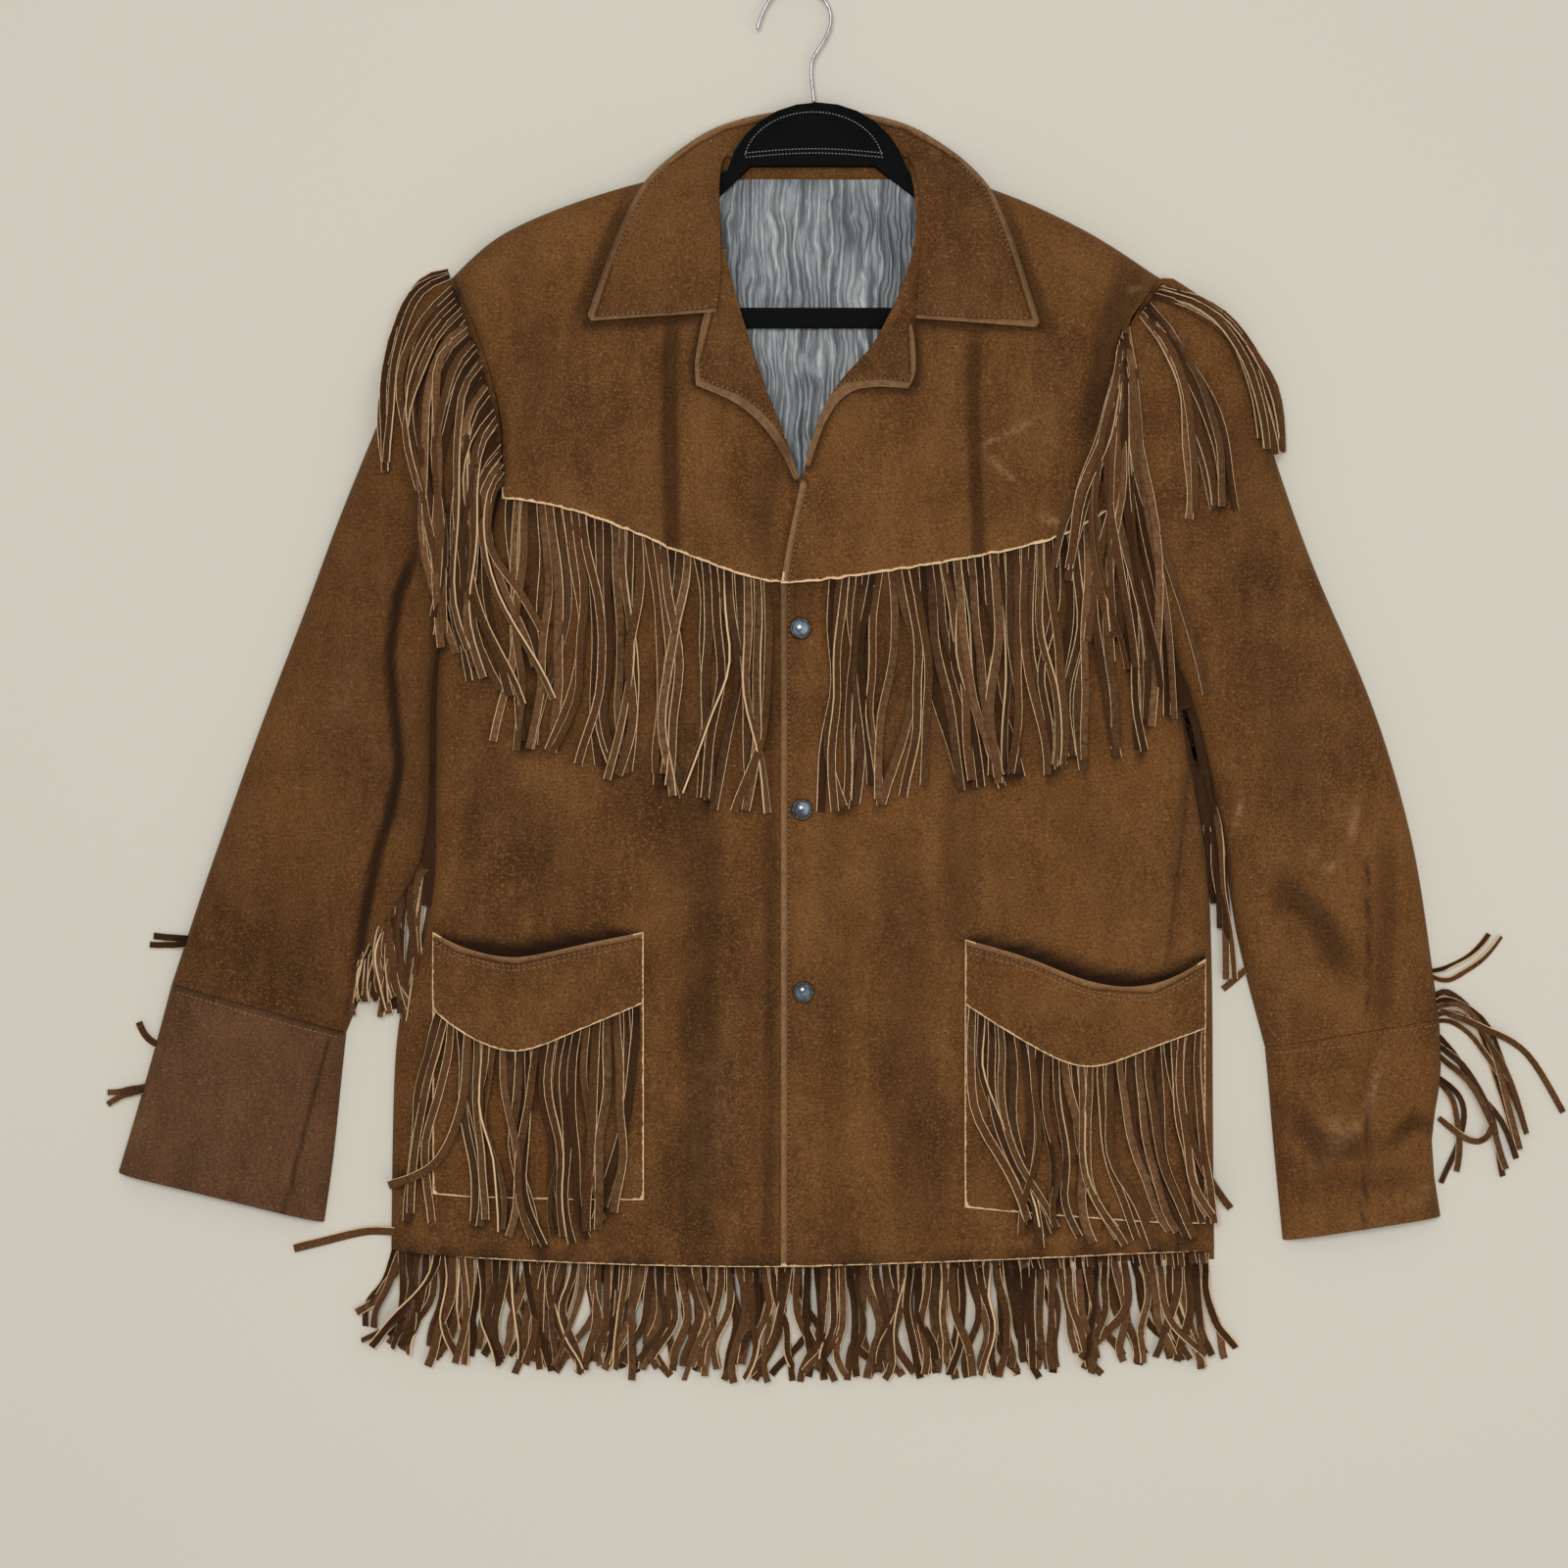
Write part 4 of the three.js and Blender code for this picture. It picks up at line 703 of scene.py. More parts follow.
COLLAR_ENDS = {
    "right": ((-0.058, 0.27), (-0.1, 0.2665), (-0.144, 0.264), (-0.131, 0.304)),
    "left": ((0.074, 0.266), (0.115, 0.2635), (0.157, 0.262), (0.142, 0.31)),
}
LAPEL_EDGE = {
    "right": (
        (-0.065, 0.272), (-0.073, 0.24), (-0.072, 0.226), (-0.064, 0.2215), (-0.044, 0.214), (-0.031, 0.2045),
        (-0.02, 0.192), (-0.011, 0.177), (-0.006, 0.162),
    ),
    "left": (
        (0.0735, 0.262), (0.075, 0.232), (0.0735, 0.2235), (0.069, 0.222), (0.051, 0.224), (0.029, 0.222),
        (0.02, 0.2145), (0.014, 0.203), (0.004, 0.171),
    ),
}
yokes = {}
for side in ("right", "left"):
    yoke = cut_panel(f"yoke_{side}", 4)
    darks = press_folds(yoke)
    points = places(yoke)
    # Painted shadow on the yoke along the edges of the collar and the lapel that lie on it.
    for line in (COLLAR_ENDS[side], LAPEL_EDGE[side]):
        darks = dark_line(darks, points, line, 0.0042, 0.75)
    mark(yoke, "shade", darks)
    at_edge = from_line(points, YOKE_EDGE) < 0.008
    mark(yoke, "raw", np.where(at_edge, 0.95 - outline_off(yoke) / 0.003, 0))
    mark(yoke, "rub", scuffed(points))
    if side == "left":
        mark(yoke, "near", 1 - from_line(points, YOKE_FRONT) / EDGE_REACH)
    scallop(yoke, YOKE_EDGE)
    yokes[side] = yoke

# The lapels and the collar. Both are doubled, so their edges are thick, turned and rubbed tan, with a
# groove just inside that is darkened by painted shade. The wings of the collar lie on the yokes, and its
# stand runs behind the neck.
TURNED = {
    "lapel_right": LAPEL_EDGE["right"],
    "lapel_left": LAPEL_EDGE["left"],
    "collar": (
        *COLLAR_ENDS["right"], (-0.116, 0.342), (-0.105, 0.362), (-0.092, 0.376), (-0.072, 0.392),
        (-0.053, 0.402), (-0.02, 0.41), (0.008, 0.411), (0.036, 0.41), (0.069, 0.402), (0.086, 0.392),
        (0.106, 0.378), (0.124, 0.357), (0.132, 0.337), *COLLAR_ENDS["left"][::-1],
    ),
}
TIPS_INWARD = ((0.8, 0.6), (-0.78, 0.62))
TIP_RADIUS = 0.007
# The collar's and lapels' suede is a darker copy of the hide, as painted shade.
collar_finish = suede("collar suede", 5.0, (0.106, 0.043, 0.0112), HIDE_DARK, (0.195, 0.09, 0.03))
collars = {}
for name in ("lapel_right", "lapel_left", "collar"):
    piece = cut_panel(name, 4)
    press_folds(piece)
    points = places(piece)
    edge_off = from_line(points, TURNED[name])
    mark(piece, "near", 1 - edge_off / EDGE_REACH)
    bead = 0.0017 * np.exp(-(((edge_off - 0.0034) / 0.0024) ** 2))
    points[:, 2] += np.where(points[:, 2] > 0.006, bead, 0)
    for inner in TIPS_INWARD if name == "collar" else ():
        inner = np.array(inner) / np.linalg.norm(inner)
        corner = points[np.argmin(points[:, :2] @ inner), :2]
        middle = corner + inner * TIP_RADIUS * 1.45
        out = points[:, :2] - middle
        far = np.linalg.norm(out, axis=1)
        past = (far > TIP_RADIUS) & (out @ -inner > 0.55 * far) & (far < 2 * TIP_RADIUS)
        points[past, :2] = middle + out[past] * (TIP_RADIUS / far[past])[:, None]
    move_to(piece, points)
    collars[name] = piece

# The pockets. Each is a patch with a gaping mouth, covered at the top by a pointed band whose raw edge
# carries the fringe. The mouth's edge is turned and stitched twice.
pockets = {}
for side, rows in POCKETS.items():
    mouth = [(row[0], row[1]) for row in rows]
    band_edge = [(row[0], row[2]) for row in rows]
    sides = [[(rows[end][0], rows[end][1]), (rows[end][0], rows[end][3])] for end in (0, -1)]
    for name in ("pocket", "pocket_band"):
        piece = cut_panel(f"{name}_{side}")
        press_folds(piece)
        points = places(piece)
        raw_off = np.minimum(from_line(points, sides[0]), from_line(points, sides[1]))
        if name == "pocket":
            raw_off = np.minimum(raw_off, from_line(points, [(row[0], row[3]) for row in rows]))
        else:
            raw_off = np.minimum(raw_off, from_line(points, band_edge))
            mark(piece, "near", 0.9 * (1 - from_line(points, mouth) / EDGE_REACH))
        mark(piece, "raw", 0.8 - np.maximum(outline_off(piece), raw_off - RIM_ROUND) / 0.0026)
        mark(piece, "rub", scuffed(points))
        pockets[f"{name}_{side}"] = piece

# The fringes. Each is a comb of long narrow strands cut from one strip of the hide, brown on the face
# and pale along the cuts, sewn in under an edge. They lie on whatever is below them, and on each other,
# so they are laid one by one, from the lowest to the topmost, over a map of the heights so far.
CELL = 0.002
LEFT, LOW, ACROSS, UP = -0.56, -0.48, 560, 500
STRAND_THICK = 0.0011
STRAND_GAP = 0.0002
STRAND_RISE = 0.0022
STRAND_RINGS = 14
CORNERS = 6
HIGHEST_HEAP = 0.0055
ABOVE_ALL = 0.2
DOWN = Vector((0, 0, -1))
heights = np.zeros((ACROSS, UP))
bare = np.zeros((ACROSS, UP))


def skin_tree(piece):
    mesh = piece.data
    return BVHTree.FromPolygons([v.co for v in mesh.vertices], [p.vertices for p in mesh.polygons])


def add_cover(piece):
    """Adds a finished piece's upper side to the map of heights."""
    tree = skin_tree(piece)
    points = places(piece)
    lo, hi = points.min(0), points.max(0)
    for i in range(int((lo[0] - LEFT) / CELL), int((hi[0] - LEFT) / CELL) + 1):
        for j in range(int((lo[1] - LOW) / CELL), int((hi[1] - LOW) / CELL) + 1):
            start = Vector((LEFT + (i + 0.5) * CELL, LOW + (j + 0.5) * CELL, ABOVE_ALL))
            hit = tree.ray_cast(start, DOWN)[0]
            if hit is not None:
                heights[i, j] = max(heights[i, j], hit.z)
                bare[i, j] = max(bare[i, j], hit.z)


def level_at(x, y, cloth_only):
    i = min(max(int((x - LEFT) / CELL), 0), ACROSS - 1)
    j = min(max(int((y - LOW) / CELL), 0), UP - 1)
    return bare[i, j] if cloth_only else heights[i, j]


def lay_strand(verts, faces, raws, path, width, tilts, weak=0.0):
    """Lays one strand along a path, adding it to the mesh and to the map of heights."""
    path = np.array(path)
    count = len(path)
    ahead = np.gradient(path, axis=0)
    ahead /= np.linalg.norm(ahead, axis=1)[:, None] + 1e-9
    aside = np.stack([-ahead[:, 1], ahead[:, 0]], axis=1)
    halves = width / 2 * np.clip(0.8 + 0.07 * np.arange(count), 0, 1)
    level = np.empty(count)
    for n in range(count):
        across = [path[n] + aside[n] * halves[n] * t for t in (-1, -0.5, 0, 0.5, 1)]
        spots = [place + ahead[n] * s for place in across for s in (-0.0015, 0.0015)]
        most = max(level_at(*spot, True) for spot in spots) + HIGHEST_HEAP
        level[n] = min(max(level_at(*spot, n < 2) for spot in spots), most)
    wide = np.pad(level, 1, mode="edge")
    reach = np.maximum(np.maximum(wide[:-2], wide[2:]), level)
    wide = np.pad(reach, 1, mode="edge")
    level[2:] = np.maximum(level, (wide[:-2] + wide[1:-1] + wide[2:]) / 3)[2:]
    base = len(verts)
    pale = (1.0, weak) if sum(tilts) > 0 else (weak, 1.0)
    for n in range(count):
        tilt, half = tilts[n], halves[n]
        flat, rise = math.cos(tilt) * half, math.sin(tilt) * half
        bottom = level[n] + STRAND_GAP + abs(rise)
        lean = math.sin(tilt) * STRAND_THICK
        for share in (-1, -0.74, 0.74, 1):
            x, y = path[n] + aside[n] * (flat * share - lean)
            verts.append((x, y, bottom + rise * share + math.cos(tilt) * STRAND_THICK))
            raws.append({-1: pale[0], 1: pale[1]}.get(share, 0.0))
        for share in (1, -1):
            x, y = path[n] + aside[n] * flat * share
            verts.append((x, y, bottom + rise * share))
            raws.append(pale[0] if share == -1 else pale[1])
        top = bottom + abs(rise) + STRAND_THICK
        for share in (-0.8, -0.3, 0.3, 0.8):
            for on in (-0.5, 0, 0.5):
                x, y = path[n] + aside[n] * flat * share + ahead[n] * on * 0.004
                i, j = int((x - LEFT) / CELL), int((y - LOW) / CELL)
                if 0 <= i < ACROSS and 0 <= j < UP:
                    heights[i, j] = max(heights[i, j], min(top, level[n] + STRAND_RISE))
    for n in range(count - 1):
        a = base + n * CORNERS
        b = a + CORNERS
        for k in range(CORNERS):
            m = (k + 1) % CORNERS
            faces.append((a + k, b + k, b + m, a + m))
    faces.append(list(range(base, base + CORNERS)))
    faces.append(list(range(len(verts) - 1, len(verts) - 1 - CORNERS, -1)))


def joined(name, verts, faces, finish):
    """One piece of points and faces, with its faces turned outward."""
    mesh = bpy.data.meshes.new(name)
    mesh.from_pydata(verts, [], faces)
    piece = bpy.data.objects.new(name, mesh)
    bpy.context.scene.collection.objects.link(piece)
    work = bmesh.new()
    work.from_mesh(mesh)
    bmesh.ops.recalc_face_normals(work, faces=work.faces)
    keep_work(piece, work)
    mesh.materials.append(finish)
    return piece


def comb(
    node, strands, width, rows, seed, sway=0.08, tilt=0.4, wander=0.03,
    extra=(), shade_strips=(), shaded_to=0.0, flare=(0, 0), stands_for_node=True,
):
    """A fringe, whose strands run from root over middle to tip with a wander of their own.

    Each row gives a share of the fringe's width and the root, middle and tip there. Extra strands have
    paths of their own, and shade strips are broad dark strips of painted shade that close a slit below.
    """
    chance = random.Random(seed)
    verts, faces, raws, strand_shades, rubs = [], [], [], [], []
    order = list(range(strands))
    lower = [n for n in order if chance.random() < 0.5]
    order = lower + [n for n in order if n not in lower]
    keys = [row[0] for row in rows]
    for n in order:
        share = (n + 0.5) / strands
        spot = [np.interp(share, keys, [row[1 + c] for row in rows]) for c in range(6)]
        root, middle, tip = np.array(spot[0:2]), np.array(spot[2:4]), np.array(spot[4:6])
        tip = tip + np.array([chance.gauss(0, 0.002), chance.gauss(0, 0.004)])
        length = np.linalg.norm(tip - root)
        wave, turn = chance.uniform(0.005, 0.02) * length, chance.uniform(0, 6.3)
        own = chance.gauss(0, wander) * length
        path = []
        for k in range(STRAND_RINGS + 1):
            t = k / STRAND_RINGS
            bend = middle - (root + tip) / 2
            p = root * (1 - t) + tip * t + bend * 4 * t * (1 - t)
            along = (tip - root) / np.linalg.norm(tip - root)
            aside = np.array([-along[1], along[0]])
            drift = sway * length * noise.noise(Vector((share * strands * 0.3, t * 1.5, seed)))
            drift *= min(t * 1.6, 1)
            drift += wave * (math.sin(t * 6 + turn) - math.sin(turn)) * min(t * 2, 1) + own * t * t
            drift += 0.35 * wave * math.sin(t * 13 + 2 * turn) * min(t * 4, 1)
            path.append(p + aside * drift + np.array(flare) * (1 - math.exp(-9 * t) - t))
        lean, swing = chance.gauss(0, tilt), chance.uniform(0, 6.3)
        tilts = [lean + 0.3 * math.sin(k / STRAND_RINGS * 5 + swing) for k in range(STRAND_RINGS + 1)]
        tilts = [min(k / 4, 1) * tilt_here for k, tilt_here in enumerate(tilts)]
        broad = width * chance.uniform(0.86, 1.06)
        lay_strand(verts, faces, raws, path, broad, tilts, chance.choice((0, 0, 1)))
        # Painted shade on each strand: darker on those laid lower, in the seam at its root, and all over on
        # those deep in a slit, which lose their pale edges too.
        own_shade = chance.uniform(0.4, 0.8) if n in lower else chance.uniform(0.0, 0.34)
        if share < shaded_to:
            own_shade = 0.8
            raws[len(strand_shades):] = [0.0] * (len(raws) - len(strand_shades))
        for ring in range(STRAND_RINGS + 1):
            in_seam = max(0, 1 - ring * length / STRAND_RINGS / 0.022)
            strand_shades += [min(own_shade + 0.5 * in_seam, 0.95)] * CORNERS
        rubs += [chance.choice((0, 0, 0, 0.22, 0.4))] * (len(verts) - len(rubs))
    for corners in (*extra, *shade_strips):
        steps = np.linspace(0, len(corners) - 1, 20)
        path = [smooth_between(np.array(corners), s) for s in steps]
        # The shade strips are broad and dark, with no pale edges: painted shade in a slit.
        deep = corners in shade_strips
        tilts = [0 if deep else 0.25 * math.sin(s * 2 + seed) for s in steps]
        first = len(raws)
        lay_strand(verts, faces, raws, path, 1.7 * width if deep else width, tilts)
        if deep:
            raws[first:] = [0.0] * (len(raws) - first)
        strand_shades += [0.8 if deep else 0.1] * (len(verts) - len(strand_shades))
        rubs += [0] * (len(verts) - len(rubs))
    piece = joined(f"{node}_strands", verts, faces, lace_finish)
    for label, values in (("raw", raws), ("shade", strand_shades), ("rub", rubs)):
        mark(piece, label, np.array(values))
    belong(piece, node if stands_for_node else None)
    return piece


def darken_gaps(*pieces):
    """Paints shade on the panels between the strands that have just been laid over them."""
    dense = (heights > bare + 0.0004).astype(float)
    for axis in (0, 1):
        dense = sum(np.roll(dense, step, axis) for step in (-2, -1, 0, 1, 2)) / 5
    for piece in pieces:
        points = places(piece)
        i = np.clip(((points[:, 0] - LEFT) / CELL).astype(int), 0, ACROSS - 1)
        j = np.clip(((points[:, 1] - LOW) / CELL).astype(int), 0, UP - 1)
        darks = np.zeros(len(points))
        if "shade" in piece.data.attributes:
            piece.data.attributes["shade"].data.foreach_get("value", darks)
        mark(piece, "shade", np.maximum(darks, 0.86 * np.clip((dense[i, j] - 0.3) / 0.35, 0, 1)))


def smooth_between(corners, s):
    """A point on a smooth curve through corners, s corners along it."""
    n = min(int(s), len(corners) - 2)
    t = s - n
    a, b = corners[n], corners[n + 1]
    before, after = corners[max(n - 1, 0)], corners[min(n + 2, len(corners) - 1)]
    slope_a, slope_b = (b - before) / 2, (after - a) / 2
    t2, t3 = t * t, t * t * t
    leaving = (2 * t3 - 3 * t2 + 1) * a + (t3 - 2 * t2 + t) * slope_a
    return leaving + (3 * t2 - 2 * t3) * b + (t3 - t2) * slope_b


LACE_HIDE, LACE_DARK, LACE_BRUSHED = (0.098, 0.04, 0.0135), (0.055, 0.021, 0.0068), (0.165, 0.08, 0.031)
lace_finish = suede("fringe suede", 9.0, LACE_HIDE, LACE_DARK, LACE_BRUSHED, 0.7)
for piece in (back, *unders):
    add_cover(piece)

# The hem's fringe, in two rows, one behind the other. One strand strays far out at the right corner.
hem_low = comb("fringe_hem_back", 84, 0.0056, (
    (0.0, -0.272, -0.342, -0.288, -0.37, -0.3, -0.398),
    (0.08, -0.245, -0.344, -0.249, -0.385, -0.256, -0.42),
    (0.3, -0.13, -0.35, -0.13, -0.395, -0.132, -0.43),
    (0.7, 0.08, -0.354, 0.082, -0.398, 0.082, -0.432),
    (1.0, 0.27, -0.351, 0.276, -0.39, 0.282, -0.422),
), 3, sway=0.22, wander=0.16, tilt=0.5, extra=(
    ((-0.262, -0.338), (-0.29, -0.337), (-0.32, -0.344), (-0.34, -0.349)),
))
hem_top = comb("fringe_hem_front", 93, 0.0056, (
    (0.0, -0.27, -0.336, -0.276, -0.378, -0.286, -0.412),
    (0.15, -0.19, -0.346, -0.192, -0.39, -0.196, -0.426),
    (0.45, -0.03, -0.354, -0.03, -0.396, -0.03, -0.431),
    (0.75, 0.13, -0.355, 0.131, -0.396, 0.132, -0.43),
    (1.0, 0.271, -0.352, 0.274, -0.388, 0.28, -0.418),
), 4, sway=0.2, wander=0.14, tilt=0.55)

# The sleeves' fringe. A few strands reach past the outer edges, and thick rows fill the slits between
# the body and the sleeves, with broad dark strips in them as painted shade. The row in the left slit
# stands for no node.
sleeve_combs = {
    "right": comb("fringe_sleeve_right", 5, 0.0046, (
        (0.0, -0.402, -0.14, -0.414, -0.14, -0.43, -0.132),
        (0.3, -0.404, -0.146, -0.42, -0.146, -0.438, -0.146),
        (0.31, -0.425, -0.208, -0.432, -0.203, -0.441, -0.196),
        (0.55, -0.426, -0.216, -0.436, -0.212, -0.446, -0.2),
        (0.56, -0.436, -0.238, -0.448, -0.241, -0.464, -0.243),
        (1.0, -0.438, -0.244, -0.452, -0.247, -0.466, -0.252),
    ), 41, tilt=0.5),
    "right_inner": comb("fringe_sleeve_right_inner", 30, 0.0052, (
        (0.0, -0.302, -0.166, -0.303, -0.174, -0.304, -0.184),
        (0.25, -0.29, -0.146, -0.294, -0.164, -0.296, -0.185),
        (0.5, -0.278, -0.127, -0.284, -0.156, -0.284, -0.186),
        (0.75, -0.264, -0.104, -0.269, -0.14, -0.268, -0.19),
        (1.0, -0.2485, -0.08, -0.253, -0.135, -0.254, -0.202),
    ), 42, sway=0.12, wander=0.08, tilt=0.4, extra=(
        ((-0.28, -0.132), (-0.276, -0.162), (-0.262, -0.186), (-0.243, -0.205)),
        ((-0.244, -0.17), (-0.252, -0.196), (-0.262, -0.214), (-0.27, -0.226)),
    ), shade_strips=(
        ((-0.2462, 0.085), (-0.247, 0.02), (-0.2478, -0.05), (-0.2495, -0.12)),
    )),
    "left": comb("fringe_sleeve_left", 12, 0.0044, (
        (0.0, 0.418, -0.162, 0.438, -0.154, 0.46, -0.132),
        (0.16, 0.418, -0.168, 0.44, -0.168, 0.462, -0.15),
        (0.17, 0.42, -0.18, 0.446, -0.19, 0.474, -0.27),
        (0.6, 0.422, -0.2, 0.454, -0.216, 0.482, -0.276),
        (0.61, 0.422, -0.204, 0.448, -0.238, 0.466, -0.296),
        (0.8, 0.423, -0.22, 0.446, -0.25, 0.47, -0.296),
        (0.81, 0.424, -0.232, 0.44, -0.262, 0.428, -0.308),
        (1.0, 0.424, -0.24, 0.436, -0.26, 0.436, -0.3),
    ), 43, tilt=0.5, extra=(
        ((0.425, -0.19), (0.45, -0.2), (0.482, -0.218), (0.507, -0.258)),
        ((0.424, -0.262), (0.44, -0.274), (0.452, -0.277), (0.458, -0.268)),
        ((0.306, -0.15), (0.3, -0.158), (0.292, -0.166), (0.28, -0.176)),
    )),
}
slit_comb = comb("fringe_sleeve_left_inner", 11, 0.0046, (
    (0.0, 0.246, 0.045, 0.259, 0.000, 0.2705, -0.06),
    (0.4, 0.257, 0.008, 0.268, -0.045, 0.2765, -0.11),
    (0.7, 0.267, -0.03, 0.2745, -0.085, 0.28, -0.15),
    (1.0, 0.276, -0.06, 0.282, -0.115, 0.283, -0.172),
), 44, sway=0.04, wander=0.02, tilt=0.3, shaded_to=0.7, stands_for_node=False, shade_strips=(
    ((0.244, 0.05), (0.2545, 0.015), (0.264, -0.025), (0.272, -0.065)),
    ((0.2412, 0.05), (0.2517, 0.015), (0.2612, -0.025), (0.2692, -0.065)),
))
for piece in (*sleeves.values(), *fronts.values()):
    add_cover(piece)

# The yokes' fringe, which hangs over the fronts from the pointed edge.
yoke_combs = {
    "right": comb("fringe_yoke_right", 32, 0.0057, (
        (0.0, -0.197, 0.153, -0.2, 0.075, -0.196, -0.01),
        (0.25, -0.155, 0.146, -0.15, 0.06, -0.154, -0.02),
        (0.5, -0.112, 0.131, -0.108, 0.045, -0.11, -0.034),
        (0.72, -0.074, 0.115, -0.078, 0.035, -0.09, -0.046),
        (0.73, -0.072, 0.114, -0.064, 0.035, -0.078, -0.048),
        (0.88, -0.046, 0.104, -0.052, 0.03, -0.068, -0.046),
        (0.89, -0.044, 0.103, -0.038, 0.02, -0.036, -0.052),
        (1.0, -0.021, 0.098, -0.024, 0.02, -0.026, -0.06),
    ), 11, sway=0.11, wander=0.036, tilt=0.42),
    "left": comb("fringe_yoke_left", 39, 0.0057, (
        (0.0, 0.017, 0.1, 0.017, 0.03, 0.014, -0.054),
        (0.2, 0.052, 0.104, 0.042, 0.03, 0.04, -0.05),
        (0.21, 0.056, 0.105, 0.058, 0.03, 0.048, -0.048),
        (0.3, 0.072, 0.107, 0.084, 0.03, 0.09, -0.04),
        (0.31, 0.076, 0.108, 0.086, 0.036, 0.101, -0.042),
        (0.55, 0.12, 0.116, 0.124, 0.04, 0.128, -0.036),
        (0.8, 0.17, 0.128, 0.173, 0.05, 0.176, -0.026),
        (1.0, 0.211, 0.151, 0.218, 0.066, 0.226, -0.014),
    ), 12, sway=0.11, wander=0.036, tilt=0.42),
}
darken_gaps(*fronts.values())
for name in ("pocket_right", "pocket_left"):
    add_cover(pockets[name])

# The pockets' fringe, which hangs from the bands' pointed edges.
pocket_combs = {
    "right": comb("fringe_pocket_right", 24, 0.0056, (
        (0.0, -0.243, -0.187, -0.254, -0.245, -0.266, -0.33),
        (0.12, -0.232, -0.196, -0.24, -0.26, -0.247, -0.326),
        (0.13, -0.23, -0.198, -0.226, -0.26, -0.226, -0.33),
        (0.5, -0.18, -0.211, -0.176, -0.28, -0.172, -0.344),
        (0.51, -0.178, -0.211, -0.182, -0.28, -0.172, -0.34),
        (0.75, -0.146, -0.198, -0.15, -0.265, -0.136, -0.338),
        (1.0, -0.108, -0.184, -0.11, -0.25, -0.128, -0.32),
    ), 21, sway=0.13, wander=0.05, tilt=0.45, extra=(
        ((-0.222, -0.2), (-0.226, -0.25), (-0.244, -0.29), (-0.276, -0.306)),
    )),
    "left": comb("fringe_pocket_left", 26, 0.0056, (
        (0.0, 0.109, -0.184, 0.114, -0.25, 0.134, -0.33),
        (0.2, 0.14, -0.202, 0.15, -0.265, 0.164, -0.34),
        (0.21, 0.144, -0.204, 0.15, -0.28, 0.15, -0.332),
        (0.55, 0.194, -0.223, 0.196, -0.29, 0.214, -0.346),
        (0.56, 0.197, -0.222, 0.208, -0.28, 0.236, -0.34),
        (0.8, 0.236, -0.209, 0.24, -0.28, 0.25, -0.342),
        (0.9, 0.25, -0.204, 0.254, -0.27, 0.282, -0.322),
        (1.0, 0.265, -0.199, 0.27, -0.27, 0.286, -0.322),
    ), 22, sway=0.13, wander=0.05, tilt=0.45),
}
darken_gaps(*fronts.values(), pockets["pocket_right"], pockets["pocket_left"])
for piece in (*yokes.values(), pockets["pocket_band_right"], pockets["pocket_band_left"]):
    add_cover(piece)

# The armholes' fringe. It is the topmost, in bundles that fan out over the yokes and the sleeves.
armhole_combs = {
    "right": comb("fringe_armhole_right", 30, 0.0052, (
        (0.0, -0.2374, 0.304, -0.268, 0.262, -0.284, 0.166),
        (0.1, -0.2354, 0.298, -0.262, 0.244, -0.28, 0.178),
        (0.11, -0.2334, 0.292, -0.256, 0.2, -0.258, 0.103),
        (0.3, -0.2254, 0.268, -0.24, 0.19, -0.256, 0.108),
        (0.31, -0.2244, 0.266, -0.244, 0.18, -0.238, 0.049),
        (0.5, -0.2154, 0.244, -0.226, 0.16, -0.246, 0.07),
        (0.51, -0.2144, 0.24, -0.228, 0.15, -0.226, 0.058),
        (0.8, -0.2034, 0.198, -0.212, 0.11, -0.205, 0.022),
        (0.9, -0.2004, 0.176, -0.204, 0.095, -0.187, 0.012),
        (1.0, -0.1984, 0.16, -0.19, 0.11, -0.17, 0.066),
    ), 31, sway=0.11, wander=0.035, tilt=0.4, flare=(-0.015, 0.003)),
    "left": comb("fringe_armhole_left", 34, 0.0052, (
        (0.0, 0.208, 0.236, 0.184, 0.175, 0.172, 0.094),
        (0.15, 0.209, 0.244, 0.192, 0.17, 0.178, 0.108),
        (0.16, 0.209, 0.246, 0.196, 0.15, 0.196, 0.066),
        (0.35, 0.21, 0.252, 0.204, 0.15, 0.21, 0.038),
        (0.36, 0.211, 0.255, 0.216, 0.15, 0.222, 0.024),
        (0.55, 0.214, 0.264, 0.225, 0.15, 0.231, -0.004),
        (0.56, 0.224, 0.272, 0.252, 0.205, 0.257, 0.138),
        (0.76, 0.229, 0.28, 0.262, 0.214, 0.285, 0.142),
        (0.77, 0.233, 0.285, 0.283, 0.25, 0.306, 0.196),
        (1.0, 0.239, 0.292, 0.298, 0.25, 0.318, 0.182),
    ), 32, sway=0.11, wander=0.035, tilt=0.4, flare=(0.003, 0.001)),
}
darken_gaps(*fronts.values(), *yokes.values(), *sleeves.values())

# The panels get their finishes. Each row also lists the panel's cut as it shows, what lies below it and the
# fringe that it carries.
for piece, flat, area, below, carried in (
    (fronts["right"], (0.291, 0.523), 0.1332, ["back"], [yoke_combs["right"], hem_top, hem_low]),
    (fronts["left"], (0.293, 0.523), 0.1353, ["back", "front_right"], [yoke_combs["left"]]),
    (yokes["right"], (0.247, 0.281), 0.0454, ["front_right"], [armhole_combs["right"]]),
    (yokes["left"], (0.253, 0.281), 0.046, ["front_left"], [armhole_combs["left"]]),
    (
        sleeves["sleeve_top_right"], (0.135, 0.503), 0.0573, ["sleeve_under_right"],
        [sleeve_combs["right"], sleeve_combs["right_inner"]],
    ),
    (
        sleeves["sleeve_top_left"], (0.142, 0.512), 0.063, ["sleeve_under_left"],
        [sleeve_combs["left"], slit_comb],
    ),
):
    wear(piece, hide_finish)
wear(sleeves["cuff_top_right"], cuff_finish)
wear(sleeves["cuff_top_left"], hide_finish)
